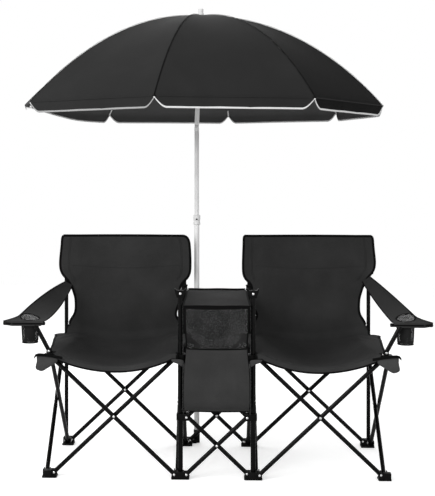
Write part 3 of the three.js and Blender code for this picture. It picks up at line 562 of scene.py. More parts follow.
# %% [markdown]
# ### Paint, plastic and bare metal
# The tubes are sprayed with gloss black, which dries with a slight orange peel and scuffs to grey
# where tubes rub. Feet and hubs are moulded nylon with a fine grain. One group serves all hard
# finishes: a base colour, a fine surface grain and a few worn patches.

# %% The hard surface group
def build_finish():
    """A hard finish: a base colour, a fine grain and worn patches that are also duller."""
    group, w, start, end = node_group(
        "Worn Finish",
        [
            ("Color", "Color", grey(20)),
            ("Worn Color", "Color", grey(90)),
            ("Wear", "Float", 0.1),
            ("Grain Scale", "Float", 900.0),
            ("Roughness", "Float", 0.35),
        ],
        [("Color", "Color"), ("Roughness", "Float"), ("Height", "Float")],
    )
    coords = w.node("TexCoord").outputs["Object"]
    patches = w.noise(coords, 55.0, 6.0, 0.7)
    worn = w.math("MULTIPLY", w.ramp(patches, 0.62, 0.7), start["Wear"], True)
    level = w.ramp(w.noise(coords, 9.0, 2.0), 0.3, 0.7, 0.88, 1.12)
    base = w.node("HueSaturation", Color=start["Color"], Value=level).outputs[0]
    rough = w.math("ADD", start["Roughness"], w.ramp(patches, 0.3, 0.7, -0.06, 0.1))
    w.feed(end, "Color", w.blend(worn, base, start["Worn Color"]))
    w.feed(end, "Roughness", w.math("ADD", rough, w.math("MULTIPLY", worn, 0.3), True))
    w.feed(end, "Height", w.noise(coords, start["Grain Scale"], 3.0))
    return group


FINISH = build_finish()


def hard_material(name, tone, worn, wear, grain, rough, metal=0.0, coat=0.0, gloss=0.5):
    """A hard finish, with the display values of its colour and of its worn patches."""
    values = {
        "Color": grey(tone),
        "Worn_Color": grey(worn),
        "Wear": wear,
        "Grain_Scale": grain,
        "Roughness": rough,
    }
    plain = {
        "Metallic": metal,
        "Coat Weight": coat,
        "Coat Roughness": 0.12,
        "Specular IOR Level": gloss,
    }
    return material_from(name, FINISH, values, 0.00008, 0.4, plain)


BLACK_PAINT = hard_material("black_paint", 5, 40, 0.06, 700, 0.24, coat=0.02, gloss=0.07)
BLACK_PLASTIC = hard_material("black_plastic", 7, 30, 0.08, 1600, 0.45, gloss=0.07)
ZINC = hard_material("zinc_rivet", 214, 150, 0.5, 1200, 0.25, metal=1.0)
PALE_PAINT = hard_material("pale_pole_paint", 222, 190, 0.3, 600, 0.32, coat=0.3)
PALE_PLASTIC = hard_material("pale_plastic", 214, 188, 0.3, 1400, 0.45)
SPRING_STEEL = hard_material("rib_steel", 66, 48, 0.4, 900, 0.4, metal=0.3)
print("materials", len(bpy.data.materials))

# %% [markdown]
# ## Braces
# Each X of the frame is two round steel tubes that turn on a rivet where they cross. A tube could be
# a plain cylinder, but the real one is pinched flat by a few tenths at each rivet, and its cut ends
# are rolled. So one tube is modelled standing up, cut across at those places, squeezed there, given
# its wall and rounded rims, and then copied to every place in the frame.

# %% One brace, modelled upright
ROUND = 32
PINCH_REACH = 16
PINCH_SHARE = 0.86
PINCH_SPREAD = 1.03
RIM_ROLL = 0.35
BRACE_RISE = SEAT_PIVOT_Z - FOOT_PIVOT_Z


def brace_master(name, length):
    """A tube along Z from one pivot to the other, pinched across Y at its ends and its middle."""
    bpy.ops.object.select_all(action="DESELECT")
    bpy.ops.mesh.primitive_cylinder_add(
        vertices=ROUND,
        radius=TUBE_RADIUS * MM,
        depth=(length + 2 * TUBE_OVERHANG) * MM,
        end_fill_type="NOTHING",
        location=(0, 0, length / 2 * MM),
    )
    tube = bpy.context.object
    tube.name = name
    settle(tube)
    pinches = (0, length / 2, length)
    lowest, highest = 1 - TUBE_OVERHANG, length + TUBE_OVERHANG - 1
    for height in pinches:
        for step in (-1, -0.5, 0, 0.5, 1):
            cut = min(max(height + step * PINCH_REACH, lowest), highest)
            with editing(tube):
                bpy.ops.mesh.bisect(plane_co=(0, 0, cut * MM), plane_no=UPWARD)
    for height in pinches:
        pick_vertices(tube, lambda co, z=height: abs(co.z - z) < 0.6 * PINCH_REACH)
        squeeze = (PINCH_SPREAD, PINCH_SHARE, 1)
        bpy.ops.transform.resize(value=squeeze, center_override=(0, 0, height * MM))
        bpy.ops.object.mode_set(mode="OBJECT")
    wall = tube.modifiers.new("wall", "SOLIDIFY")
    wall.thickness = TUBE_WALL * MM
    wall.offset = -1
    rounded(tube, RIM_ROLL, 2, 60)
    smooth(tube)
    return tube


long_brace = brace_master("long_brace", math.hypot(BRACE_SPAN, BRACE_RISE))
short_brace = brace_master("short_brace", math.hypot(BRACE_SPAN / 2, BRACE_RISE / 2))
print("brace faces", len(long_brace.data.polygons), "length", round(long_brace.dimensions.z, 4), "m")

# %% [markdown]
# Every brace is named by where its lower end stands. A matrix takes the upright tube to its line: its
# Z runs up the tube, and its Y stays along the rivet's axis, so that the pinched flats face the
# tube that it crosses.

# %% Copies of the braces
def line_matrix(low, high, across):
    """Takes the Z axis to the line from low to high, and Y to the rivet's axis."""
    up = (high - low).normalized()
    side = Vector(across)
    front = side.cross(up).normalized()
    return Matrix.Translation(low) @ Matrix((front, side, up)).transposed().to_4x4()


crossings = []


def put_pair(names, heights, across, *ends):
    """The two braces of one X; each one's ends are (x, y) for low and high. The first holds the rivet."""
    low, high = heights
    master = long_brace if high - low > BRACE_RISE * 0.75 else short_brace
    middles = []
    for name, ((x0, y0), (x1, y1)) in zip(names, ends):
        line = line_matrix(place(x0, y0, low), place(x1, y1, high), across)
        dress(copy_at(master, name + "_tube", line), BLACK_PAINT, name, name)
        middles.append(((x0 + x1) / 2, (y0 + y1) / 2, (low + high) / 2))
    crossings.append((names[0], across, *middles))


FULL_RISE = (FOOT_PIVOT_Z, SEAT_PIVOT_Z)
STOREYS = {"lower": (FOOT_PIVOT_Z, MIDDLE_PIVOT_Z), "upper": (MIDDLE_PIVOT_Z, SEAT_PIVOT_Z)}
for word, s in SIDES.items():
    for end_word, end in ENDS.items():
        planes = {"outer": end * OUTER_PLANE, "inner": end * INNER_PLANE}
        near, far = s * INNER_PIVOT_X, s * OUTER_PIVOT_X
        y = planes["outer" if end > 0 else "inner"]
        from_outer = ((far, y), (near, y))
        y = planes["inner" if end > 0 else "outer"]
        from_inner = ((near, y), (far, y))
        pair = [("outer", from_outer), ("inner", from_inner)]
        if end < 0:
            pair.reverse()
        names = [f"{word}_{end_word}_brace_from_{start}" for start, _ in pair]
        put_pair(names, FULL_RISE, ALONG_Y, pair[0][1], pair[1][1])
    for where, (rear_x, front_x) in (
        ("outer", OUTER_SIDE_PLANES[word]),
        ("inner", (INNER_SIDE_REAR_X, INNER_SIDE_FRONT_X)),
    ):
        put_pair(
            [f"{word}_{where}_side_brace_from_{start}" for start in ENDS],
            FULL_RISE,
            ALONG_X,
            ((s * rear_x, SIDE_PIVOT_Y), (s * rear_x, -SIDE_PIVOT_Y)),
            ((s * front_x, -SIDE_PIVOT_Y), (s * front_x, SIDE_PIVOT_Y)),
        )
for end_word, end in ENDS.items():
    far, near = end * OUTER_PLANE, end * INNER_PLANE
    for storey, heights in STOREYS.items():
        put_pair(
            [f"centre_{end_word}_{storey}_brace_from_{start}" for start in SIDES],
            heights,
            ALONG_Y,
            ((-CENTRE_PIVOT_X, far), (CENTRE_PIVOT_X, far)),
            ((CENTRE_PIVOT_X, near), (-CENTRE_PIVOT_X, near)),
        )
for master in (long_brace, short_brace):
    bpy.data.objects.remove(master)
print("crossings", len(crossings))

# %% [markdown]
# ## Rivets
# Semi-tubular rivets join the tubes: a low dome on each side, bright zinc, about 9 mm across. In the
# photo they are the only bright spots on the frame. One dome is made from a disc that is extruded
# and drawn in twice, as its real head is pressed.

# %% One rivet head
HEAD_RADIUS = 4.6
HEAD_HEIGHT = 2.2
rivet_head = disc("rivet_head", 20, HEAD_RADIUS)
with editing(rivet_head):
    for lift, draw in ((0.3, 1.0), (0.35, 0.86), (0.25, 0.6)):
        push(0, 0, lift * HEAD_HEIGHT)
        bpy.ops.transform.resize(value=(draw, draw, 1))
smooth(rivet_head, 50)
print("rivet faces", len(rivet_head.data.polygons))

# %% Rivet heads at the crossings
rivets_on = {}


def add_rivet(body, point, axis, reach, back=None):
    """Two heads on one pin: at +reach and at -back from a point, along an axis."""
    heads = rivets_on.setdefault(body, [])
    for way, distance in ((1, reach), (-1, reach if back is None else back)):
        at = point + Vector(axis) * way * distance * MM
        matrix = Matrix.Translation(at) @ turned_to(Vector(axis) * way)
        heads.append(copy_at(rivet_head, f"{body}_head_{len(heads)}", matrix))


TUBE_FACE = TUBE_RADIUS * PINCH_SHARE
for body, across, own, other in crossings:
    offset = (Vector(other) - Vector(own)).dot(Vector(across))
    add_rivet(body, place(*own), across, TUBE_FACE + max(offset, 0), TUBE_FACE + max(-offset, 0))

# %% [markdown]
# ## Feet and hubs
# The feet and hubs are moulded in black nylon: a socket round the post, and a fork for every tube
# with a rivet through it. The CAD solids have those shapes, but their edges are as sharp as a knife.
# A copy of each is welded, its flat faces are made one again, and every edge is rounded, as a mould
# leaves it. A copy is used because the CAD mesh itself never changes.

# %% Rounded copies of moulded parts
MOULD_RADIUS = 0.8
WELD_REACH = 0.00002
SOCKET_REACH = 20


def moulded(node, name, drop=None):
    """A rounded copy of a CAD part; drop(x, y, z) says which of its points to leave out."""
    obj = copy_at(frame["nodes"][node], name, Matrix.Identity(4))
    obj.data.materials.clear()
    with editing(obj):
        bpy.ops.mesh.remove_doubles(threshold=WELD_REACH)
    if drop:
        pick_vertices(obj, lambda co: drop(co.x + POLE_X, co.y + POLE_Y, co.z))
        bpy.ops.mesh.delete(type="VERT")
        bpy.ops.mesh.select_all(action="SELECT")
        bpy.ops.mesh.fill_holes(sides=0)
        bpy.ops.object.mode_set(mode="OBJECT")
    with editing(obj):
        bpy.ops.mesh.dissolve_limited(angle_limit=math.radians(2))
    rounded(obj, MOULD_RADIUS, 2, 40, clamped=False)
    smooth(obj, 40)
    return obj


def above_foot(x, y, z):
    """The post, collar and cap, which get pieces of their own; the umbrella's socket stays."""
    return z > FOOT_HEIGHT + 0.5 and math.hypot(x - POLE_X, y - POLE_Y) > SOCKET_REACH


moulds = []
for word in SIDES:
    for node in ("rear_outer_post", "rear_inner_post", "front_inner_post"):
        moulds.append((f"{word}_{node}", "_foot", above_foot))
    moulds.append((f"{word}_front_outer_foot", "_moulded", None))
    for node in ("rear_outer", "rear_inner", "front_inner", "front_outer"):
        moulds.append((f"{word}_{node}_hub", "_moulded", None))
    for end_word in ENDS:
        moulds.append((f"centre_{end_word}_hub_{word}", "_moulded", None))
for body, ending, drop in moulds:
    dress(moulded(body, body + ending, drop), BLACK_PLASTIC, body, body)
print("moulded parts", len(moulds))

# %% [markdown]
# Each fork has its own rivet, with a head on the outside of each cheek. The list of forks repeats the
# frame's planes: X tubes turn about Y, side tubes about X.

# %% Rivet heads on the forks
for word, s in SIDES.items():
    for up, height in ((False, FOOT_PIVOT_Z), (True, SEAT_PIVOT_Z)):
        for end_word, end in ENDS.items():
            outer_foot = f"{word}_rear_outer_post" if end > 0 else f"{word}_front_outer_foot"
            outer_body = f"{word}_{end_word}_outer_hub" if up else outer_foot
            inner_body = f"{word}_{end_word}_inner_{'hub' if up else 'post'}"
            rear_side = (end > 0) != up
            outer_plane = OUTER_PLANE if rear_side else INNER_PLANE
            inner_plane = INNER_PLANE if rear_side else OUTER_PLANE
            centre_plane = OUTER_PLANE if (s < 0) != up else INNER_PLANE
            outer_x = OUTER_SIDE_PLANES[word][0 if rear_side else 1]
            inner_x = INNER_SIDE_REAR_X if rear_side else INNER_SIDE_FRONT_X
            for body, x, y, axis in (
                (outer_body, OUTER_PIVOT_X, outer_plane, ALONG_Y),
                (outer_body, outer_x, SIDE_PIVOT_Y, ALONG_X),
                (inner_body, INNER_PIVOT_X, inner_plane, ALONG_Y),
                (inner_body, inner_x, SIDE_PIVOT_Y, ALONG_X),
                (inner_body, CENTRE_PIVOT_X, centre_plane, ALONG_Y),
            ):
                add_rivet(body, place(s * x, end * y, height), axis, CHEEK_REACH)
    for end_word, end in ENDS.items():
        middle_y = end * (OUTER_PLANE + INNER_PLANE) / 2
        point = place(s * CENTRE_PIVOT_X, middle_y, MIDDLE_PIVOT_Z)
        add_rivet(f"centre_{end_word}_hub_{word}", point, ALONG_Y, CHEEK_REACH + PLANE_STEP / 2)

# %% [markdown]
# ## Posts, collars and caps
# The four rear posts run up into the sleeves of the backs and end in rounded plugs. The two front
# posts are thicker and carry winged caps that keep the table's corners up. A post is a disc that is
# pushed up to its length, with its two rims rounded off.

# %% A capped tube by extrusion
def capped_tube(name, low, high, radius, sides=ROUND, dome=0.5):
    """A closed round bar from low to high in millimetres, with domed ends."""
    start, end = Vector(low), Vector(high)
    bar = disc(name, sides, radius)
    with editing(bar):
        push(0, 0, (end - start).length)
    outward(bar)
    rounded(bar, dome * radius, 4, 60)
    bar.data.transform(Matrix.Translation(place(*low)) @ turned_to(end - start))
    smooth(bar, 40)
    return bar


POST_BOTTOM = FOOT_HEIGHT - 8
BACK_POST_TOP = 866
CAP_POST_TOP = 700
POSTS = {
    "rear_outer_post": (OUTER_POST_X, POST_Y, BACK_POST_TOP, REAR_POST_RADIUS),
    "rear_inner_post": (INNER_POST_X, POST_Y, BACK_POST_TOP, REAR_POST_RADIUS),
    "front_inner_post": (INNER_POST_X, -POST_Y, CAP_POST_TOP, FRONT_POST_RADIUS),
}
for word, s in SIDES.items():
    for node, (x, y, top, radius) in POSTS.items():
        body = f"{word}_{node}"
        post = capped_tube(body + "_tube", (s * x, y, POST_BOTTOM), (s * x, y, top), radius)
        dress(post, BLACK_PAINT, body)

# %% Table collars
COLLAR_BOTTOM = 646
COLLAR_RADIUS = 14
COLLAR_HEIGHT = 22
WAIST = 0.9
# The collar's rings from the bottom up: each one's share of the height, and how it is drawn in.
COLLAR_RINGS = ((0.22, 1.0), (0.06, WAIST), (0.44, 1.0), (0.06, 1 / WAIST), (0.22, 1.0))
for word, s in SIDES.items():
    body = f"{word}_rear_inner_post"
    ring = disc(body + "_table_collar", ROUND, COLLAR_RADIUS)
    with editing(ring):
        for share, draw in COLLAR_RINGS:
            push(0, 0, share * COLLAR_HEIGHT)
            bpy.ops.transform.resize(value=(draw, draw, 1))
    outward(ring)
    rounded(ring, 0.6, 2, 40)
    ring.data.transform(Matrix.Translation(place(s * INNER_POST_X, POST_Y, COLLAR_BOTTOM)))
    smooth(ring)
    dress(ring, BLACK_PLASTIC, body)

# %% [markdown]
# The cap is a small winged block: narrow at the bottom, with two ears at the top that stop the
# table's cloth from riding up. It starts as its outline, which is pushed back, and its edges are
# rounded. A rivet holds it on the post.

# %% Winged caps
CAP_BOTTOM = 672
CAP_HEIGHT = 34
CAP_HALF_WIDTH = 22
CAP_HALF_DEPTH = 12
# The wing's right half from the bottom up: shares of the half width and of the height.
WING_SHARES = ((0.6, 0.0), (0.7, 0.25), (0.88, 0.52), (1.0, 1.0), (0.82, 0.96), (0.6, 0.8))


def plate(name, outline, y0, y1, radius=0.8):
    """An upright plate: an outline of (x, z) in millimetres, pushed from one depth to another."""
    points = [place(x, y0, z) for x, z in outline]
    obj = mesh_object(name, points, [list(range(len(points)))])
    with editing(obj):
        push(0, y1 - y0, 0)
    outward(obj)
    rounded(obj, radius, 3, 30)
    smooth(obj)
    return obj


wing = [(-a, b) for a, b in WING_SHARES[:1]] + list(WING_SHARES)
wing += [(-a, b) for a, b in reversed(WING_SHARES[1:])]
for word, s in SIDES.items():
    body = f"{word}_front_inner_post"
    x = s * INNER_POST_X
    outline = [(x + a * CAP_HALF_WIDTH, CAP_BOTTOM + b * CAP_HEIGHT) for a, b in wing]
    cap = plate(body + "_cap", outline, -POST_Y - CAP_HALF_DEPTH, -POST_Y + CAP_HALF_DEPTH)
    dress(cap, BLACK_PLASTIC, body)
    rivet_at = place(x, -POST_Y, CAP_BOTTOM + 0.45 * CAP_HEIGHT)
    add_rivet(body, rivet_at, ALONG_Y, CAP_HALF_DEPTH)

# %% [markdown]
# ## Arm supports
# Each armrest's cloth is pulled over a bar. The bar is welded to a leaning tube that turns between
# two ears of the front hub, so that it can fold in.

# %% Arm supports
ARM_PIVOT_X = OUTER_PIVOT_X + 18
ARM_PIVOT_Z = SEAT_PIVOT_Z + 29
ARM_TOP_X = 680
ARM_BAR_Z = 573
ARM_BAR_RADIUS = 7
ARM_BAR_INNER_X = 640
ARM_BAR_OUTER_X = 797
EAR_THICKNESS = 4
for word, s in SIDES.items():
    body = f"{word}_arm_support"
    low = Vector((s * ARM_PIVOT_X, -POST_Y, ARM_PIVOT_Z))
    high = Vector((s * ARM_TOP_X, -POST_Y, ARM_BAR_Z))
    way = (high - low).normalized()
    tube = capped_tube(body + "_tube", low - TUBE_OVERHANG * way, high, TUBE_RADIUS, dome=0.3)
    bar_ends = [(s * x, -POST_Y, ARM_BAR_Z) for x in (ARM_BAR_INNER_X, ARM_BAR_OUTER_X)]
    bar = capped_tube(body + "_bar", *bar_ends, ARM_BAR_RADIUS)
    dress(tube, BLACK_PAINT, body, body)
    dress(bar, BLACK_PAINT, body)
    ear_reach = TUBE_RADIUS + TUBE_GAP + EAR_THICKNESS
    add_rivet(f"{word}_front_outer_hub", place(*low), ALONG_Y, ear_reach)

# %% Join each body's rivet heads into one piece
for body, heads in rivets_on.items():
    dress(joined(body + "_rivets", heads), ZINC, body)
bpy.data.objects.remove(rivet_head)
print("rivet groups", len(rivets_on))


# %% [markdown]
# ## Cloth
# Each cloth piece is a grid of points that follows a smooth surface: the rows come from a table of
# widths that was measured off the photo, and a curve through the table rounds them. Solidify then
# gives the sheet its thickness. Seams, stitches and binding tape are swept along the same surface.

# %% Small helpers for rows, rings and curves
def clamp(value):
    return max(0.0, min(1.0, value))


def bump(at, middle, spread):
    """A smooth hill of height 1 round its middle."""
    return math.exp(-(((at - middle) / spread) ** 2))


def spaced(start, length, count):
    """Evenly spaced numbers from start, over a length, with both ends."""
    return [start + length * k / count for k in range(count + 1)]


def row_at(steps, v):
    """A share of the rows as a place in a list of steps."""
    spot = v * (len(steps) - 1)
    k = min(int(spot), len(steps) - 2)
    return steps[k] + (spot - k) * (steps[k + 1] - steps[k])


def turns(count):
    """Evenly spaced angles on a circle, each with its cosine and its sine."""
    angles = [2 * math.pi * k / count for k in range(count)]
    return [(angle, math.cos(angle), math.sin(angle)) for angle in angles]


def ring_faces(rings, count, wrapped=False, first=0):
    """Quads between rings of points that follow one another in the list, from its point first."""
    faces = []
    for ring in range(rings if wrapped else rings - 1):
        low, high = first + ring * count, first + (ring + 1) % rings * count
        for k in range(count):
            after = (k + 1) % count
            faces.append((low + k, low + after, high + after, high + k))
    return faces


def end_faces(rings, count):
    """The two faces that close the first ring and the last one."""
    last = (rings - 1) * count
    return [tuple(range(count - 1, -1, -1)), tuple(last + k for k in range(count))]


# %% Grids and swept strips
def surface(name, points, faces, uvs):
    """A mesh piece with the UV map that the cloth materials read, in metres."""
    obj = mesh_object(name, points, faces)
    layer = obj.data.uv_layers.new(name="UVMap")
    for loop in obj.data.loops:
        layer.data[loop.index].uv = uvs[loop.vertex_index]
    return obj


def sheet_grid(name, rows, columns, place_at):
    """A grid sheet; place_at(v, u) gives a drawing place for shares v down and u across."""
    points, uvs, faces = [], [], []
    down = 0.0
    half = columns // 2
    for i in range(rows + 1):
        row = [place(*place_at(i / rows, j / columns)) for j in range(columns + 1)]
        if i:
            down += (row[half] - points[-columns - 1 + half]).length
        across = 0.0
        widths = [0.0]
        for j in range(columns):
            across += (row[j + 1] - row[j]).length
            widths.append(across)
        points += row
        uvs += [(row[half].x + width - across / 2, down) for width in widths]
    for i in range(rows):
        for j in range(columns):
            a = i * (columns + 1) + j
            faces.append((a, a + columns + 1, a + columns + 2, a + 1))
    return surface(name, points, faces, uvs)


def thickened(obj, thickness):
    """Give a sheet the cloth's thickness, half of it to each side."""
    body = obj.modifiers.new("cloth", "SOLIDIFY")
    body.thickness = thickness * MM
    body.offset = 0.0
    apply_all(obj)
    outward(obj)
    smooth(obj, 60)


def swept(name, path, half_out, half_up, closed=False, sides=8):
    """A rounded strip along a path; each entry is (drawing place, one way, the other way)."""
    points, uvs = [], []
    travelled = 0.0
    for row, (point, one, other) in enumerate(path):
        here = place(*point)
        if row:
            travelled += (here - last).length
        last = here
        out_way, up_way = Vector(one).normalized(), Vector(other).normalized()
        for turn, out_share, up_share in turns(sides):
            reach = out_way * out_share * half_out + up_way * up_share * half_up
            points.append(here + reach * MM)
            uvs.append((travelled, turn * half_up * MM))
    faces = ring_faces(len(path), sides, wrapped=closed)
    if not closed:
        faces += end_faces(len(path), sides)
    obj = surface(name, points, faces, uvs)
    outward(obj)
    smooth(obj, 60)
    return obj


def strip(name, places, one, other, half_out, half_up, sides=8):
    """A strip that keeps the same two ways from end to end."""
    return swept(name, [(p, one, other) for p in places], half_out, half_up, sides=sides)


def tape(name, places, half_width, half_height, sides=8):
    """A strip along places that turns with them; wide across the path, level in the other way."""
    path = []
    for k, point in enumerate(places):
        ahead = Vector(places[min(k + 1, len(places) - 1)]) - Vector(places[max(k - 1, 0)])
        one = Vector(UPWARD).cross(ahead)
        if one.length < 0.3 * ahead.length:
            one = Vector(ALONG_Y).cross(ahead)
        path.append((point, one, ahead.cross(one)))
    return swept(name, path, half_width, half_height, sides=sides)


# %% [markdown]
# ### Cloth that follows the fold
# When the chair folds, its corners move and the cloth between them has to go with them. Every cloth
# piece rides on one body and has a hook for each other body that carries a corner, weighted by how
# near each point is to it. The bodies only slide, so the weighted moves add up exactly.

# %% Hooks on the frame's bodies
SMALLEST_WEIGHT = 0.0005


def hooked(obj, shares):
    """Hooks on other bodies; shares(x, y, z) gives {body: weight} for a drawing place."""
    groups = {}
    for vertex in obj.data.vertices:
        at = vertex.co / MM
        for body, weight in shares(at.x + POLE_X, at.y + POLE_Y, at.z).items():
            if weight > SMALLEST_WEIGHT:
                groups.setdefault(body, []).append((vertex.index, weight))
    for body, members in groups.items():
        group = obj.vertex_groups.new(name=body)
        for index, weight in members:
            group.add([index], weight, "REPLACE")
        hook = obj.modifiers.new(body, "HOOK")
        hook.object = frame["bodies"][body]
        hook.vertex_group = body
        hook.falloff_type = "NONE"
        hook.strength = 1.0
        hook.matrix_inverse = frame["bodies"][body].matrix_world.inverted() @ obj.matrix_world


def dress_cloth(obj, material, body, shares, stands_for=None):
    """Dress a piece of the chair's cloth, and hook it to the other bodies that carry it."""
    dress(obj, material, body, stands_for)
    hooked(obj, shares)


# The cloth this near to a post or a hub goes with it; only the cloth between them gathers.
FIRM_EDGE = 36
# Above the first height the back goes with the posts, and below the second with the seat's hubs.
BACK_FIRM_Z, SEAT_FIRM_Z = 690, 480
# Inside the posts and under the table, this share of the seat stays low, clear of the table: how
# far from a post in x and y it starts, over what length, and the height where it ends.
DROOP_SHARE = 0.5
DROOP_IN_X, DROOP_OVER_X = 8, 24
DROOP_IN_Y, DROOP_OVER_Y = 34, 40
DROOP_TOP_Z, DROOP_OVER_Z = 560, 40


def chair_shares(word):
    """How much each corner of a chair carries a point of its cloth."""
    width = OUTER_POST_X - INNER_POST_X - 2 * FIRM_EDGE
    length = 2 * POST_Y - 2 * FIRM_EDGE

    def shares(x, y, z):
        droop = DROOP_SHARE * clamp((INNER_POST_X - DROOP_IN_X - abs(x)) / DROOP_OVER_X)
        droop *= clamp((POST_Y - DROOP_IN_Y - abs(y)) / DROOP_OVER_Y)
        droop *= clamp((DROOP_TOP_Z - z) / DROOP_OVER_Z)
        a = clamp((abs(x) - INNER_POST_X - FIRM_EDGE) / width)
        f = clamp((POST_Y - FIRM_EDGE - y) / length)
        drop = clamp((BACK_FIRM_Z - z) / (BACK_FIRM_Z - SEAT_FIRM_Z))
        h = drop * drop * (3 - 2 * drop)
        return {
            f"{word}_rear_outer_post": a * (1 - f) * (1 - h),
            f"{word}_rear_inner_hub": (1 - a) * (1 - f) * h * (1 - droop),
            f"{word}_rear_outer_hub": a * (1 - f) * h,
            f"{word}_front_inner_hub": (1 - a) * f * (1 - droop),
            f"{word}_front_inner_post": (1 - a) * f * droop,
            f"{word}_front_outer_hub": a * f,
        }

    return shares


# %% [markdown]
# ### The slings
# Seat and back are one length of cloth: it hangs from sleeves on the two back posts, bends into the
# seat and is sewn to the four hubs. Its outline comes in at the waist, where the armrests start.

# %% The sling's outline
CHAIR_MIDDLE_X = (INNER_POST_X + OUTER_POST_X) / 2
CHAIR_HALF = (OUTER_POST_X - INNER_POST_X) / 2
# (place down the cloth, width share): 0 to 1 is the back, 1 to 2 the bend, 2 to 3 the seat. One top
# corner is sewn round and the others nearly square.
ROUND_TOP = ((0.0, 0.985), (0.012, 1.03), (0.035, 1.06), (0.07, 1.08), (0.18, 1.095))
SQUARE_TOP = ((0.0, 1.035), (0.012, 1.055), (0.035, 1.066), (0.1, 1.073), (0.18, 1.085))
UPRIGHT_TOP = ((0.0, 1.07), (0.012, 1.083), (0.035, 1.088), (0.1, 1.09), (0.18, 1.095))
WIDTH_SHARES = (
    (0.3, 1.1), (0.38, 1.09), (0.44, 1.05), (0.5, 0.97), (0.56, 0.915), (0.63, 0.87), (0.71, 0.84),
    (0.86, 0.845), (0.98, 0.94), (1.2, 0.99), (1.8, 1.0), (2.0, 1.06), (2.015, 1.13), (2.035, 1.15),
    (2.08, 1.13), (2.3, 1.09), (2.6, 1.03), (2.8, 1.0), (2.92, 1.0), (3.0, 1.0),
)
# The front corners are cut in round the front post on one side and round the arm's ears on the other.
FRONT_CORNER_SHARES = {-1: 0.952, 1: 0.9}
CORNER_CUT_AT, CORNER_CUT_OVER = 2.93, 0.016
# For each chair and edge: the top's outline, how far up the waist starts and what fills it out.
EDGE_SHAPES = {
    (-1, -1): (ROUND_TOP, -0.03, 0.08),
    (-1, 1): (SQUARE_TOP, 0.0, 0.0),
    (1, -1): (UPRIGHT_TOP, -0.05, 0.17),
    (1, 1): (SQUARE_TOP, 0.03, 0.0),
}
# Where the waist is moved, filled out and drawn in: the place down the cloth and the spread.
WAIST_START = (0.42, 0.17)
WAIST_FILL = (0.72, 0.11)
WAIST_NIP = (0.92, 0.05)
NIP_SHARE = 0.02


def from_table(table, at):
    """A smooth curve through a table of (place, value)."""
    last = len(table) - 1
    k = max(0, min(last - 1, sum(1 for start, _ in table if start <= at) - 1))
    (p0, v0), (p1, v1) = table[k], table[k + 1]
    before, after = table[max(k - 1, 0)], table[min(k + 2, last)]
    span = p1 - p0
    t = clamp((at - p0) / span)
    m0 = (v1 - before[1]) / (p1 - before[0]) * span
    m1 = (after[1] - v0) / (after[0] - p0) * span
    return (
        (2 * t**3 - 3 * t**2 + 1) * v0
        + (t**3 - 2 * t**2 + t) * m0
        + (3 * t**2 - 2 * t**3) * v1
        + (t**3 - t**2) * m1
    )


def width_at(side, down, across):
    """The cloth's half width at a place down it, as a share, on the side that across points to."""
    edge = -1 if across < 0 else 1
    top, waist_up, filled = EDGE_SHAPES[(side, edge)]
    at = min(down, 3.0)
    at += waist_up * bump(at, *WAIST_START)
    width = from_table(top + WIDTH_SHARES, at)
    if across < 0:
        width += filled * bump(down, *WAIST_FILL) - NIP_SHARE * bump(down, *WAIST_NIP)
    cut = clamp((down - CORNER_CUT_AT) / CORNER_CUT_OVER)
    return width + (min(width, FRONT_CORNER_SHARES[edge]) - width) * cut


# %% The sling's surface
BACK_CLOTH_Y = 241.7
BACK_TOP = 872
SEAT_Z = 464
SEAT_FRONT_Y = -262
BEND_RADIUS = 36
BACK_BOW = 18
SAG_REAR, SAG_MIDDLE, SAG_FRONT = 34, 70, 48
FLAT_SHARE = 0.77
FRONT_FLAT_SHARE = 0.88
HEM_DROP = 17
HEM_OUT = 12
HEM_ROLL = 4
HEM_START = 3.0
HEM_END = 3.08


def hang(share, flat=FLAT_SHARE):
    """How far the cloth hangs through between its edges: 1 in the middle, 0 past the flat share."""
    return 1 - min(1.0, abs(share) / flat) ** 2


def folds(x, y, z, share, down):
    """Small sewing puckers and pull lines: near the hubs, along the front hem and at the waist."""
    edge = clamp((abs(share) - 0.55) / 0.5)
    lift = 2.6 * (bump(down, 2.12, 0.16) * edge) * math.sin(0.11 * x + 0.05 * y)
    lift += 1.8 * (bump(down, 2.93, 0.1) * edge) * math.sin(0.16 * x - 0.04 * y)
    push_in = 1.6 * (bump(down, 0.66, 0.2) * edge) * math.sin(0.09 * z + 0.05 * x)
    slow = 1.2 * math.sin(0.013 * x + 0.4) * math.sin(0.017 * (y + z))
    return push_in + slow * clamp(2 - down), lift + slow * clamp(down - 2)


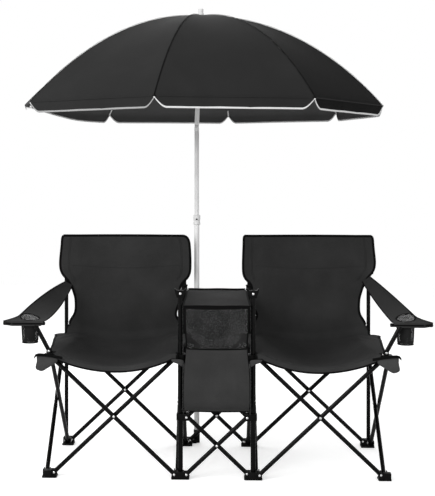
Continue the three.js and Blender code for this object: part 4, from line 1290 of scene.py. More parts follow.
def sling_point(side, down, across, out=0.0):
    """A point of the sling; across is -1 at the inner edge and 1 at the outer one."""
    share = across * width_at(side, down, across)
    x = share * CHAIR_HALF
    bow = BACK_BOW * hang(share)
    rear_low = SEAT_Z - SAG_REAR * hang(share)
    if down <= 1:
        low = rear_low + BEND_RADIUS
        y, z = BACK_CLOTH_Y + bow - out, low + (1 - down) * (BACK_TOP - low)
    elif down <= 2:
        angle = (down - 1) * math.pi / 2
        y = BACK_CLOTH_Y - BEND_RADIUS * (1 - math.cos(angle)) + bow * (2 - down)
        y -= out * math.cos(angle)
        z = rear_low + BEND_RADIUS * (1 - math.sin(angle)) + out * math.sin(angle)
    else:
        rear = 3 - min(down, 3.0)
        rear_y = BACK_CLOTH_Y - BEND_RADIUS
        straight = SAG_FRONT + (SAG_REAR - SAG_FRONT) * rear
        sag = straight + 4 * rear * (1 - rear) * (SAG_MIDDLE - (SAG_FRONT + SAG_REAR) / 2)
        flat = FLAT_SHARE + (FRONT_FLAT_SHARE - FLAT_SHARE) * clamp((0.5 - rear) / 0.5)
        y, z = SEAT_FRONT_Y + rear * (rear_y - SEAT_FRONT_Y), SEAT_Z - sag * hang(share, flat) + out
        hem = clamp((down - HEM_START) / (HEM_END - HEM_START))
        roll = min(1.0, hem / 0.35) * math.pi / 2
        y -= HEM_OUT * math.sin(roll) + out * hem
        z -= HEM_ROLL * (1 - math.cos(roll)) + (HEM_DROP - HEM_ROLL) * clamp((hem - 0.25) / 0.75)
    push_in, lift = folds(x, y, z, share, min(down, 3.0))
    return (side * (CHAIR_MIDDLE_X + x), y + push_in, z + lift)


# Rows lie closer together at the top hem, where the seat starts and at the front corners.
TOP_STEPS = [0.0, 0.006, 0.012]
SEAT_STEPS = [2.008, 2.018, 2.03, 2.05]
DOWN_STEPS = TOP_STEPS + spaced(0, 1, 44)[1:] + spaced(1, 1, 8)[1:] + SEAT_STEPS
DOWN_STEPS += spaced(2.08, 0.85, 36) + [2.938, 2.946, 2.96, 2.98, 3.0] + spaced(3.0, 0.08, 8)[1:]
SLING_COLUMNS = 64
CLOTH_THICKNESS = 1.6
SLING_LIFT = 1.2
for word, s in SIDES.items():
    sling = sheet_grid(
        f"{word}_sling_cloth",
        len(DOWN_STEPS) - 1,
        SLING_COLUMNS,
        lambda v, u: sling_point(s, row_at(DOWN_STEPS, v), 2 * u - 1, SLING_LIFT),
    )
    thickened(sling, CLOTH_THICKNESS)
    body = f"{word}_rear_inner_post"
    dress_cloth(sling, CHAIR_CLOTH, body, chair_shares(word), f"{word}_sling")

# %% [markdown]
# ### Binding, seams and sleeves
# The cloth's raw edge is closed with a folded tape, 11 mm wide. Behind each back post the cloth
# returns as a sleeve, which is sewn down in a double line 33 mm in from the edge. Each line of
# stitching is a fine ridge. In front the cloth rolls over into a hem that faces the sitter's feet.

# %% Outline binding
TAPE_HALF = 5.6
TAPE_THICK = 1.7
EDGE_STEPS = TOP_STEPS + spaced(0, 1, 40)[1:] + spaced(1, 1, 8)[1:] + SEAT_STEPS
EDGE_STEPS += spaced(2.08, 0.84, 28) + [2.932, 2.946, 2.97, 3.0, 3.02, 3.05, HEM_END]


def sling_binding(name, side):
    """The tape round a sling: along its top, down the outer edge, along the hem and up again."""
    ring = [sling_point(side, 0.0, u / 12, SLING_LIFT) for u in range(-11, 12)]
    ring += [sling_point(side, d, 1, SLING_LIFT) for d in EDGE_STEPS]
    ring += [sling_point(side, HEM_END, -u / 24, SLING_LIFT) for u in range(-23, 24)]
    ring += [sling_point(side, d, -1, SLING_LIFT) for d in reversed(EDGE_STEPS)]
    path = []
    for k, point in enumerate(ring):
        ahead = Vector(ring[(k + 1) % len(ring)]) - Vector(ring[k - 1])
        upright = point[2] > 500 or point[1] < SEAT_FRONT_Y - 4
        face = Vector((0, -1, 0)) if upright else Vector((0, -0.2, 1))
        path.append((point, ahead.cross(face), face))
    return swept(name, path, TAPE_HALF, TAPE_THICK, closed=True)


# %% Stitched seams and hems
SEAM_IN = 33
SEAM_LIFT = 2.3
SEAM_GAPS = (0, 5)
CROSS_SEAM_AT = 0.335
FRONT_SEAMS_IN = (0.016, 0.03)
HEM_LIFT = 2.6
HEM_SHARE = 0.98


def sling_seams(word, side):
    """The lines of stitching: beside the sleeves, across the back and along the front hem."""
    seams = []
    for way in (-1, 1):
        for gap in SEAM_GAPS:
            places = []
            for down in spaced(0.005, 0.49, 29):
                seam_at = 1 - SEAM_IN / (width_at(side, down, way) * CHAIR_HALF)
                across = way * (seam_at - gap / CHAIR_HALF)
                places.append(sling_point(side, down, across, SEAM_LIFT))
            seams.append(strip(f"{word}_seam_{way}_{gap}", places, ALONG_X, ALONG_Y, 0.7, 0.5, 6))
    places = [sling_point(side, CROSS_SEAM_AT, u / 20, SEAM_LIFT) for u in range(-17, 18)]
    seams.append(strip(f"{word}_seam_cross", places, UPWARD, ALONG_Y, 0.8, 0.5, 6))
    for inset in FRONT_SEAMS_IN:
        places = [sling_point(side, 3 - inset, u / 30, SEAM_LIFT) for u in range(-28, 29)]
        seams.append(strip(f"{word}_seam_front_{inset}", places, ALONG_Y, UPWARD, 0.8, 0.5, 6))
    return joined(f"{word}_sling_seams", seams)


for word, s in SIDES.items():
    body, shares = f"{word}_rear_inner_post", chair_shares(word)
    binding = sling_binding(f"{word}_sling_binding", s)
    dress_cloth(binding, BINDING, body, shares)
    hem_rows = spaced(HEM_START, HEM_END - HEM_START, 8)
    hem = sheet_grid(
        f"{word}_front_hem",
        8,
        SLING_COLUMNS,
        lambda v, u: sling_point(s, hem_rows[round(8 * v)], HEM_SHARE * (2 * u - 1), HEM_LIFT),
    )
    thickened(hem, 1.0)
    dress_cloth(hem, BAG_CLOTH, body, shares)
    seam = sling_seams(word, s)
    dress_cloth(seam, THREAD, body, shares)

# %% Sleeves round the back posts
SLEEVE_RADIUS = 10.2
SLEEVE_LOW, SLEEVE_HIGH = 714, 862
SLEEVE_FLARE = 9
SLEEVE_THICKNESS = 1.2


def sleeve_point(x, v, u):
    """A point of a sleeve round the back of the post at x; its two edges flare to the back's cloth."""
    turn = math.pi * (0.02 + 0.96 * u)
    reach = SLEEVE_RADIUS + 0.5 * math.sin(9 * turn + 12 * v) * math.sin(math.pi * v)
    flare = SLEEVE_FLARE * abs(math.cos(turn)) ** 6
    height = SLEEVE_HIGH + (SLEEVE_LOW - SLEEVE_HIGH) * v
    return (x + (reach + flare) * math.cos(turn), POST_Y + reach * math.sin(turn) - flare * 0.75, height)


for word, s in SIDES.items():
    for node, x in (("rear_outer_post", OUTER_POST_X), ("rear_inner_post", INNER_POST_X)):
        body = f"{word}_{node}"
        sleeve = sheet_grid(f"{body}_sleeve", 24, 28, lambda v, u: sleeve_point(s * x, v, u))
        thickened(sleeve, SLEEVE_THICKNESS)
        dress(sleeve, CHAIR_CLOTH, body)
print("sleeve faces", len(sleeve.data.polygons))

# %% [markdown]
# ### The front corners
# At each outer front corner the seat's cloth is folded over the hub and sewn into a little pocket
# that hangs below it, with the black tape running across its top. The inner corners end in a short
# flap of the same grey cloth.

# %% Corner pockets and flaps
POCKET_OUTLINE = ((586, 452), (668, 462), (665, 440), (673, 409), (646, 399), (620, 416), (590, 434))
FLAP_OUTLINE = ((118, 447), (172, 449), (160, 436), (140, 430), (124, 418))
BAND_LINE = ((570, 451), (590, 455), (612, 460), (636, 463), (656, 464), (668, 461), (674, 453))
# From the bag's edge to the middle of its face: the depth reached and how far the outline draws in.
FLAP_LEVELS = ((0.0, 1.0), (0.3, 0.99), (0.55, 0.92), (0.8, 0.6), (0.95, 0.25))


def softened(outline):
    """An outline with four points to each side and its corners worn round."""
    edge = []
    for (x, z), after in zip(outline, outline[1:] + outline[:1]):
        edge += [(x + (after[0] - x) * t / 4, z + (after[1] - z) * t / 4) for t in range(4)]
    for _ in range(2):
        edge = [
            tuple((before[n] + 2 * here[n] + after[n]) / 4 for n in (0, 1))
            for before, here, after in zip(edge[-1:] + edge[:-1], edge, edge[1:] + edge[:1])
        ]
    return edge


def hanging_flap(name, side, outline, y_front, y_rear, bulge):
    """A small hanging bag: an outline of (x, z) that bulges forward, closed at the bottom."""
    middle_x = sum(p[0] for p in outline) / len(outline)
    middle_z = sum(p[1] for p in outline) / len(outline)
    middle_y = (y_front + y_rear) / 2
    edge = softened(outline)
    count, rings = len(edge), len(FLAP_LEVELS)
    points, uvs, faces = [], [], []
    for face_y, swell in ((y_front, bulge), (y_rear, 0)):
        first = len(points)
        for depth, draw in FLAP_LEVELS:
            for x, z in edge:
                px = middle_x + (x - middle_x) * draw
                pz = middle_z + (z - middle_z) * draw
                crease = 1.6 * math.sin(0.35 * px + 0.2 * pz) * (1 - draw)
                forward = (face_y - middle_y) * math.sin(depth * math.pi / 2)
                points.append(place(side * px, middle_y + forward + crease - swell * depth, pz))
                uvs.append((px * MM, pz * MM))
        faces += ring_faces(rings, count, first=first)
        faces.append(tuple(len(points) - count + k for k in range(count)))
    faces += [(k, (k + 1) % count, first + (k + 1) % count, first + k) for k in range(count)]
    obj = surface(name, points, faces, uvs)
    outward(obj)
    smooth(obj, 50)
    return obj


BAND_Y = -291
for word, s in SIDES.items():
    body = f"{word}_front_outer_hub"
    pocket = hanging_flap(f"{word}_corner_pocket", s, POCKET_OUTLINE, -291, -274, 2)
    dress(pocket, POCKET_CLOTH, body)
    flap = hanging_flap(f"{word}_inner_flap", s, FLAP_OUTLINE, -288, -278, 1)
    dress(flap, POCKET_CLOTH, f"{word}_front_inner_hub")
    places = [(s * x, BAND_Y - 3 * math.sin((x - 590) / 28), z) for x, z in BAND_LINE]
    band = strip(f"{word}_corner_band", places, ALONG_Y, UPWARD, 3.4, 5.2)
    dress(band, BINDING, body)

# %% [markdown]
# ### Armrests
# An armrest is a strip that starts narrow behind the sling's edge and widens to the bar that it is
# wrapped round. A net cup hangs from a round hole in it, with a bound rim.

# %% The armrest's surface
ARM_REAR_Y = 238.9
ARM_REAR_INNER_X, ARM_REAR_OUTER_X = 604, 634
ARM_OUTER_X, ARM_TIP_X = 757, 797
# For each side, of the outer edge: its rear end's height, its rise and what it gives way in the
# middle. Then of the inner edge: its rear end's height, its sag and its place at the bar.
ARM_EDGES = {-1: ((679, 14, 0), (664, 21, 642)), 1: ((704, 15, 12), (682, 8, 649))}
ARM_FRONT_Z = ARM_BAR_Z + ARM_BAR_RADIUS + 0.8
# Past 1 the strip wraps round the bar: half a turn over this length.
ARM_WRAP = 0.15
ARM_ROWS = spaced(0, 1, 36) + spaced(1, ARM_WRAP, 10)[1:]


def arm_point(side, t, across, lift=0.0):
    """A point of the strip: t runs from the back post to the bar, across from inside to outside."""
    along = min(t, 1.0)
    y = ARM_REAR_Y + along * (-POST_Y - ARM_REAR_Y)
    arch = 4 * along * (1 - along)
    (outer_rear_z, rise, give), (inner_rear_z, sag, inner_front_x) = ARM_EDGES[side]
    inner_z = inner_rear_z + along * (ARM_FRONT_Z - inner_rear_z) - sag * arch
    outer_z = outer_rear_z + along * (ARM_FRONT_Z - outer_rear_z) + rise * arch
    flare = clamp((t - 0.9) / 0.1) ** 1.6
    round_in = 14 * clamp((t - 0.93) / 0.2) ** 2
    inner_x = ARM_REAR_INNER_X + along * (inner_front_x - ARM_REAR_INNER_X) + round_in
    outer_x = ARM_REAR_OUTER_X + along * (ARM_OUTER_X - ARM_REAR_OUTER_X) - give * arch
    outer_x += flare * (ARM_TIP_X - ARM_OUTER_X)
    bow = 4 * across * (1 - across)
    x = inner_x + across * (outer_x - inner_x)
    z = inner_z + across * (outer_z - inner_z) - 5 * bow * math.sin(math.pi * along) + lift
    if t > 1:
        turn = (t - 1) / ARM_WRAP * math.pi
        reach = ARM_BAR_RADIUS + 1.1 + lift
        taper = 1 - 0.55 * clamp((x - 765) / 32)
        y = -POST_Y - reach * math.sin(turn) * taper
        z = ARM_BAR_Z + reach * math.cos(turn) * taper
    return (side * x, y, z)


def arm_shares(word):
    """The strip goes with the back post at its rear and with the arm's bar in front."""
    length = ARM_REAR_Y + POST_Y - 8
    return lambda x, y, z: {f"{word}_arm_support": clamp((ARM_REAR_Y - y) / length)}


# %% The armrest's hole and its net cup
CUP_X, CUP_Y, CUP_RADIUS, CUP_BOTTOM = 704, -206.7, 35, 494
CUP_NET_RADIUS = CUP_RADIUS - 1
CUP_SIDES = 48
CUP_SEAM_SHARE = 0.86
CUTTER_Z, CUTTER_DEPTH = 600, 0.12
# Down the net: the level and how far it is gathered in at the bottom.
CUP_LEVELS = (
    (0, 1), (0.12, 1), (0.3, 1), (0.5, 1), (0.7, 1), (0.88, 1), (0.97, 0.93), (1.0, 0.84),
)


def cup_rim_z(side, x, y):
    """The strip's height at a place; x is measured outward from the middle."""
    t = clamp((ARM_REAR_Y - y) / (ARM_REAR_Y + POST_Y))
    inner_x, outer_x = (abs(arm_point(side, t, across)[0]) for across in (0, 1))
    return arm_point(side, t, clamp((x - inner_x) / (outer_x - inner_x)))[2]


def cut_hole(obj, side):
    """Cut the cup's round hole through an armrest."""
    bpy.ops.object.select_all(action="DESELECT")
    middle = place(side * CUP_X, CUP_Y, CUTTER_Z)
    bpy.ops.mesh.primitive_cylinder_add(
        vertices=CUP_SIDES, radius=CUP_NET_RADIUS * MM, depth=CUTTER_DEPTH, location=middle
    )
    cutter = bpy.context.object
    settle(cutter)
    hole = obj.modifiers.new("hole", "BOOLEAN")
    hole.operation = "DIFFERENCE"
    hole.solver = "EXACT"
    hole.object = cutter
    apply_all(obj)
    bpy.data.objects.remove(cutter)
    smooth(obj, 60)


def cup_hoop(name, side, reach, height_at, half_out, half_up):
    """A tape round the cup, at a distance from its middle."""
    path = []
    for _, across, along in turns(CUP_SIDES):
        x, y = CUP_X + reach * across, CUP_Y + reach * along
        path.append(((side * x, y, height_at(x, y)), (side * across, along, 0), UPWARD))
    return swept(name, path, half_out, half_up, closed=True)


def net_cup(name, side):
    """The net that hangs from the hole's rim, with a round bottom that is gathered in."""
    points, uvs = [], []
    for level, gathered in CUP_LEVELS:
        for turn, across, along in turns(CUP_SIDES):
            high = cup_rim_z(side, CUP_X + CUP_RADIUS * across, CUP_Y + CUP_RADIUS * along)
            z = high + (CUP_BOTTOM + 1 - high) * level
            draw = (1 - 0.1 * level) * (1 + 0.025 * math.sin(3 * turn) * level) * gathered
            reach = CUP_NET_RADIUS * draw
            points.append(place(side * (CUP_X + reach * across), CUP_Y + reach * along, z))
            uvs.append((turn * CUP_RADIUS * MM, z * MM))
    faces = ring_faces(len(CUP_LEVELS), CUP_SIDES)
    centre = len(points)
    last = centre - CUP_SIDES
    faces += [(last + k, last + (k + 1) % CUP_SIDES, centre) for k in range(CUP_SIDES)]
    points.append(place(side * CUP_X, CUP_Y, CUP_BOTTOM + 1))
    uvs.append((0, CUP_BOTTOM * MM))
    cup = surface(name, points, faces, uvs)
    smooth(cup, 60)
    return cup


# %% The armrests, their binding and their cups
ARM_LIFT = 1.0
for word, s in SIDES.items():
    body, shares = f"{word}_rear_outer_post", arm_shares(word)
    rest = sheet_grid(
        f"{word}_armrest_cloth",
        len(ARM_ROWS) - 1,
        26,
        lambda v, u: arm_point(s, row_at(ARM_ROWS, v), u, ARM_LIFT),
    )
    thickened(rest, 1.8)
    cut_hole(rest, s)
    dress_cloth(rest, CHAIR_CLOTH, body, shares, f"{word}_armrest")
    edges = []
    for across in (0, 1):
        places = [arm_point(s, t, across, ARM_LIFT) for t in spaced(0, 1, 36)]
        edges.append(tape(f"{word}_arm_edge_{across}", places, 3.2, 1.6))
    places = [arm_point(s, 1 + ARM_WRAP / 2, u, 0.6) for u in spaced(0, 1, 16)]
    edges.append(strip(f"{word}_arm_front", places, ALONG_Y, UPWARD, 1.4, 4.2))
    edges.append(
        cup_hoop(f"{word}_cup_rim", s, CUP_RADIUS, lambda x, y: cup_rim_z(s, x, y) + 1.2, 3.4, 2.0)
    )
    trim = joined(f"{word}_armrest_binding", edges)
    dress_cloth(trim, BINDING, body, shares)
    cup = net_cup(f"{word}_net_cup", s)
    dress_cloth(cup, CUP_NET, body, shares)
    reach = CUP_NET_RADIUS * CUP_SEAM_SHARE
    cup_foot = cup_hoop(f"{word}_cup_seam", s, reach, lambda x, y: CUP_BOTTOM + 3, 1.6, 2.2)
    dress_cloth(cup_foot, BINDING, body, shares)
print("armrest faces", len(rest.data.polygons))

# %% [markdown]
# ### The table and the bag
# The table is a flat piece of cloth between four posts, with a bound band along its front. Under it
# hangs the storage bag: net behind, and a pocket of solid cloth that bulges at its bottom.

# %% Table cloth
TABLE_HALF = 125.2
TABLE_FRONT_Y, TABLE_REAR_Y = -273.1, 264.7
TABLE_Z = 644
TABLE_BAND = 9
TABLE_CORNER_X, TABLE_CORNER_Y = 120, 235
LOOP_RADIUS = 9.4
# The table's edge goes with its post this far in.
TABLE_FIRM_EDGE = 14


def table_shares(x, y, z):
    """How much each post but the rear left one carries a point of the table."""
    across, along = INNER_POST_X - TABLE_FIRM_EDGE, POST_Y - TABLE_FIRM_EDGE
    a = clamp((x + across) / (2 * across))
    f = clamp((along - y) / (2 * along))
    return {
        "right_rear_inner_post": a * (1 - f),
        "left_front_inner_post": (1 - a) * f,
        "right_front_inner_post": a * f,
    }


def table_point(v, u):
    """A point of the table, from its rear edge to its front; its rear corners are cut in."""
    y = TABLE_REAR_Y + v * (TABLE_FRONT_Y - TABLE_REAR_Y)
    corner = clamp((y - TABLE_CORNER_Y) / 6)
    half = TABLE_HALF - 1 - corner * (TABLE_HALF - TABLE_CORNER_X) - 2.2 * math.sin(math.pi * v)
    share = 2 * u - 1
    x = share * half
    sag = 1.6 * math.sin(math.pi * v) * (1 - share**2)
    ripple = 0.5 * math.sin(0.05 * x + 1) * math.sin(0.03 * y)
    return (x, y, TABLE_Z - sag + ripple)


def front_band_point(v, u):
    """A point of the band that hangs over the table's front edge, deeper in its middle."""
    share = 2 * u - 1
    y = TABLE_FRONT_Y + 1.2 - 0.8 * math.sin(math.pi * v)
    return (share * (TABLE_HALF - 1), y, TABLE_Z - 1 - v * (TABLE_BAND + 2.5 * (1 - share**2)))


table = sheet_grid("table_cloth", 40, 26, table_point)
thickened(table, 1.8)
dress_cloth(table, TABLE_CLOTH, "left_rear_inner_post", table_shares, "table_top")
band = sheet_grid("table_front_band", 6, 26, front_band_point)
thickened(band, 2.0)
dress_cloth(band, BINDING, "left_rear_inner_post", table_shares)
edges = []
for v, rise in ((0.008, 4.8), (0.994, 1.6)):
    places = [table_point(v, u) for u in spaced(0, 1, 24)]
    places = [(x, y, z + rise - 1.6) for x, y, z in places]
    edges.append(strip(f"table_edge_{v}", places, ALONG_Y, UPWARD, 4.2, rise))
for u in (0.0, 1.0):
    places = [table_point(v, u) for v in spaced(0.01, 0.98, 30)]
    edges.append(strip(f"table_side_{u}", places, ALONG_X, UPWARD, 4.4, 1.8))
for x in (-INNER_POST_X, INNER_POST_X):
    loop = [
        ((x + LOOP_RADIUS * across, POST_Y + LOOP_RADIUS * along, TABLE_Z), (across, along, 0), UPWARD)
        for _, across, along in turns(24)
    ]
    edges.append(swept(f"table_loop_{x}", loop, 1.0, 1.4, closed=True))
    toward = -1 if x > 0 else 1
    places = [(x + toward * step, POST_Y - 9.0 - 0.2 * step, TABLE_Z) for step in (1, 5, 10, 16)]
    edges.append(strip(f"table_tab_{x}", places, ALONG_Y, UPWARD, 3.0, 1.0))
trim = joined("table_binding", edges)
dress_cloth(trim, BINDING, "left_rear_inner_post", table_shares)

# %% The storage bag's surfaces
BAG_BACK_Y = -270.6
BAG_TOP, BAG_POCKET_TOP, BAG_BOTTOM = 634, 488, 258
BAG_HALF_TOP, BAG_HALF_BOTTOM = 118, 121
BAG_PINCH = 7
POCKET_DEPTH, POCKET_SWELL, POCKET_MOST = 13, 22, 35
POCKET_SIDE = 0.86


def bag_shares(x, y, z):
    """The bag hangs from the table's two front posts."""
    return {"right_front_inner_post": clamp((x + INNER_POST_X) / (2 * INNER_POST_X))}


def bag_half(z):
    """The bag's half width at a height; the pocket's bound top pinches it."""
    down = (BAG_TOP - z) / (BAG_TOP - BAG_BOTTOM)
    pinch = BAG_PINCH * bump(z, BAG_POCKET_TOP, 60)
    return BAG_HALF_TOP + (BAG_HALF_BOTTOM - BAG_HALF_TOP) * down - pinch


def bag_panel_point(v, u):
    """A point of the net panel, from the table down to the bag's bottom."""
    z = BAG_TOP + v * (BAG_BOTTOM + 6 - BAG_TOP)
    share = 2 * u - 1
    x = share * (bag_half(z) - 1)
    upper = math.sin(math.pi * clamp(v * 2))
    belly = 1.2 * abs(2.2 * upper * math.cos(3 * share))
    return (x, BAG_BACK_Y - 2 - belly - 0.9 * math.sin(0.12 * x) * upper, z)


def pocket_point(v, u):
    """The pocket's front and sides: u goes round from one side seam to the other."""
    z = BAG_POCKET_TOP + v * (BAG_BOTTOM + 1.5 - BAG_POCKET_TOP)
    share = 2 * u - 1
    gather = clamp((v - 0.8) / 0.2)
    depth = (POCKET_DEPTH + POCKET_SWELL * (1 - (1 - v) ** 2)) * (1 - 0.62 * gather**2.4)
    half = (bag_half(z) - 1) * (1 - 0.03 * gather**2)
    x = math.copysign(half * min(1.0, abs(share) / POCKET_SIDE), share)
    side_turn = clamp((abs(share) - POCKET_SIDE) / (1 - POCKET_SIDE))
    forward = depth * (1 - side_turn**2.2)
    swell = 1.6 * math.cos(0.5 * math.pi * share) * math.sin(math.pi * v)
    crease = 0.8 * math.sin(0.09 * x + 2 * v) * math.sin(math.pi * v) * clamp(1.4 - abs(share))
    lip = 4 * (1 - share * share) * (1 - v) ** 6
    y = BAG_BACK_Y - 2.5 - min(forward + swell + crease, POCKET_MOST)
    return (x, y, z - lip - (2.5 * (1 - abs(share)) * (v == 1)))


def pocket_floor_point(v, u):
    """A point of the pocket's floor, from its front seam to its back."""
    x, y, z = pocket_point(1.0, u)
    return (x, y + (BAG_BACK_Y - 2.5 - y) * v, z - 0.6 * math.sin(math.pi * v))


def pocket_back_point(v, u):
    """A point of the flat cloth behind the pocket."""
    half = bag_half(BAG_POCKET_TOP + v * (BAG_BOTTOM - BAG_POCKET_TOP)) - 2
    z = BAG_POCKET_TOP + v * (BAG_BOTTOM + 3 - BAG_POCKET_TOP)
    return ((2 * u - 1) * half, BAG_BACK_Y - 1.2, z)


# %% The storage bag's pieces
panel = sheet_grid("bag_net_panel", 40, 30, bag_panel_point)
smooth(panel, 60)
dress_cloth(panel, BAG_NET, "left_front_inner_post", bag_shares, "storage_bag")
pocket = sheet_grid("bag_pocket_cloth", 36, 56, pocket_point)
bag_floor = sheet_grid("bag_pocket_floor", 8, 56, pocket_floor_point)
for cloth in (pocket, bag_floor):
    thickened(cloth, CLOTH_THICKNESS)
pocket = joined("bag_pocket_cloth", [pocket, bag_floor])
dress_cloth(pocket, BAG_CLOTH, "left_front_inner_post", bag_shares)
backing = sheet_grid("bag_pocket_back", 20, 20, pocket_back_point)
thickened(backing, 1.2)
dress_cloth(backing, BAG_CLOTH, "left_front_inner_post", bag_shares)
places = [pocket_point(0.0, u) for u in spaced(0, 1, 40)]
edges = [strip("bag_lip", places, ALONG_Y, UPWARD, 1.6, 2.4)]
for u in (0.0, 1.0):
    places = [bag_panel_point(v, u) for v in spaced(0, 1, 30)]
    edges.append(strip(f"bag_side_{u}", places, ALONG_X, ALONG_Y, 3.0, 1.4))
places = [pocket_point(1.0, u) for u in spaced(0, 1, 40)]
edges.append(strip("bag_low", places, ALONG_Y, UPWARD, 2.4, 3.6))
trim = joined("bag_binding", edges)
dress_cloth(trim, BINDING, "left_front_inner_post", bag_shares)
print("pocket faces", len(pocket.data.polygons))

# %% [markdown]
# ## The umbrella
# The canopy is eight panels sewn over eight ribs. Between two ribs the cloth is pulled straight, so
# the outline is an eight-sided figure that bulges a little, and the whole top leans slightly on its
# tilt joint. The lean here keeps the rim level and moves each point to the side by its height.

# %% Sizes of the umbrella
TILT_Z = 1325
LEAN = math.tan(math.radians(2))
RIBS = 8
RIB_STEP = 2 * math.pi / RIBS
RIB_PHASE = math.radians(-10.4)
RIM_RADIUS = 769
DOME_RADIUS = 1165
DOME_CENTRE_Z = 630
DOME_SAG = 97.4
PANEL_SINK = 7
CROWN_HOLE = 11
VALANCE_DROP = 42
NOTCH_WIDTH = 80
NOTCH_HEIGHT = 36
CURL_ANGLE = math.radians(34)
REAR_LIFT = 10
LEFT_RIB_LIFT = 21
LEFT_RIB_SPREAD = 0.32


def leaned(point):
    """The lean of the umbrella's top, for a drawing place."""
    x, y, z = point
    return (x + LEAN * max(0, z - TILT_Z), y, z)


def dome_z(radius):
    """The height of a rib at a distance from the pole."""
    return DOME_CENTRE_Z + math.sqrt(DOME_RADIUS**2 - radius**2) - DOME_SAG * (radius / RIM_RADIUS) ** 2


def dome_point(angle, radius, lift=0.0):
    """A point of the canopy; between two ribs the cloth runs flatter and pulls in."""
    off = ((angle - RIB_PHASE) % RIB_STEP) - RIB_STEP / 2
    chord = math.cos(RIB_STEP / 2) / math.cos(off)
    share = radius / RIM_RADIUS
    sink = PANEL_SINK * math.sin(math.pi * share) * (1 - (2 * off / RIB_STEP) ** 2)
    reach = radius * chord
    x = POLE_X + reach * math.cos(angle)
    y = POLE_Y + reach * math.sin(angle)
    rear = REAR_LIFT * max(0.0, math.sin(angle)) * share * share
    aside = (angle - RIB_PHASE) % (2 * math.pi) - math.pi
    sprung = LEFT_RIB_LIFT * share**4 * bump(aside, 0, LEFT_RIB_SPREAD)
    return leaned((x, y, dome_z(radius) - sink + lift + rear + sprung))


# %% [markdown]
# ### The canopy as one sheet
# The cloth is one continuous surface: rings of points from the crown to the rim, then three more rows
# down the valance. At each rib the valance is cut away in a rounded notch, where the two panels'
# hems curve up to the rib's tip. Subdivision rounds the rows, and Solidify gives the cloth its body.

# %% The valance and its notches
# The leftmost panel's valance: how soon it tucks in beside a rib, and how far up and in it goes.
TUCK_SHARE, TUCK_UP, TUCK_IN = 0.08, 0.7, 5
CURL_SHARE = 0.8
HEM_WAVE, HEM_IN = 2.2, 4


def drop_at(share):
    """The valance's depth at a share of the way from one rib to the next."""
    distance = min(share, 1 - share) * 2 * RIM_RADIUS * math.sin(math.pi / RIBS)
    reach = distance / (NOTCH_WIDTH / 2)
    if reach >= 1:
        return VALANCE_DROP
    return VALANCE_DROP - NOTCH_HEIGHT * (1 - reach) ** 1.7


def tucked(angle):
    """The leftmost panel's valance is tucked under; 1 at the middle of that panel, 0 away from it."""
    middle = RIB_PHASE + math.pi + RIB_STEP / 2
    return clamp((RIB_STEP / 2 - abs(angle - middle)) / (TUCK_SHARE * RIB_STEP))


def hem_drop(angle, share):
    """The valance's depth at an angle; at the rear left the hem curls up towards the outermost rib."""
    left_rib = RIB_PHASE + math.pi
    curl = clamp((angle - (left_rib - CURL_ANGLE)) / CURL_ANGLE) if angle <= left_rib else 0.0
    return drop_at(share) * (1 - CURL_SHARE * curl**1.8) * (1 - TUCK_UP * tucked(angle))


def hem_out(angle, share):
    """How far the hem stands out from the rim, with three slow waves on each panel."""
    return HEM_WAVE * math.sin(2 * math.pi * share * 3) - HEM_IN - TUCK_IN * tucked(angle)


def rim_point(angle, out=0.0, drop=0.0):
    """A point beside the rim, so far out from it and so far below it."""
    x, y, z = dome_point(angle, RIM_RADIUS)
    return (x + out * math.cos(angle), y + out * math.sin(angle), z - drop)


# Angles with extra points close to the ribs, where the notches are; each with its panel share.
NOTCH_SHARES = (0, 0.012, 0.026, 0.04, 0.054, 0.068, 0.082, 0.12, 0.2, 0.3, 0.4, 0.5)
PANEL_SHARES = NOTCH_SHARES + tuple(1 - share for share in reversed(NOTCH_SHARES[1:-1]))
canopy_angles = [
    (RIB_PHASE + RIB_STEP * (rib + share), share) for rib in range(RIBS) for share in PANEL_SHARES
]
print("angles round the canopy", len(canopy_angles))

# %% The canopy cloth
RING_SHARES = (0.0, 0.03, 0.08, 0.16, 0.26, 0.38, 0.5, 0.62, 0.73, 0.83, 0.91, 0.965, 1.0)
RING_RADII = [CROWN_HOLE + (RIM_RADIUS - CROWN_HOLE) * share for share in RING_SHARES]
VALANCE_LEVELS = (0.34, 0.68, 1.0)
CANOPY_THICKNESS = 1.2


def spun_faces(rings, count):
    """Ring quads that turn the other way, for rings that run outward or upward."""
    return [(a, d, c, b) for a, b, c, d in ring_faces(rings, count)]


def mend_seam(obj, width):
    """Where a ring closes, take the UV of the last quad forward by a whole turn."""
    layer = obj.data.uv_layers["UVMap"].data
    for face in obj.data.polygons:
        values = [layer[k].uv[0] for k in face.loop_indices]
        if max(values) - min(values) > width / 2:
            for k in face.loop_indices:
                if layer[k].uv[0] < max(values) - width / 2:
                    layer[k].uv[0] += width * layer[k].uv[1] / (RIM_RADIUS * MM)


points, uvs = [], []
for radius in RING_RADII:
    for angle, share in canopy_angles:
        points.append(place(*dome_point(angle, radius)))
        uvs.append((angle * radius * MM, radius * MM))
for level in VALANCE_LEVELS:
    for angle, share in canopy_angles:
        drop = hem_drop(angle, share) * level
        points.append(place(*rim_point(angle, hem_out(angle, share) * level, drop)))
        uvs.append((angle * RIM_RADIUS * MM, (RIM_RADIUS + drop) * MM))
faces = spun_faces(len(RING_RADII) + len(VALANCE_LEVELS), len(canopy_angles))
canopy = surface("umbrella_canopy_cloth", points, faces, uvs)
mend_seam(canopy, 2 * math.pi * RIM_RADIUS * MM)
soft = canopy.modifiers.new("soft", "SUBSURF")
soft.levels = 1
soft.render_levels = 1
thickened(canopy, CANOPY_THICKNESS)
dress(canopy, CANOPY_CLOTH, "umbrella_top", "umbrella_canopy")
print("canopy faces", len(canopy.data.polygons))
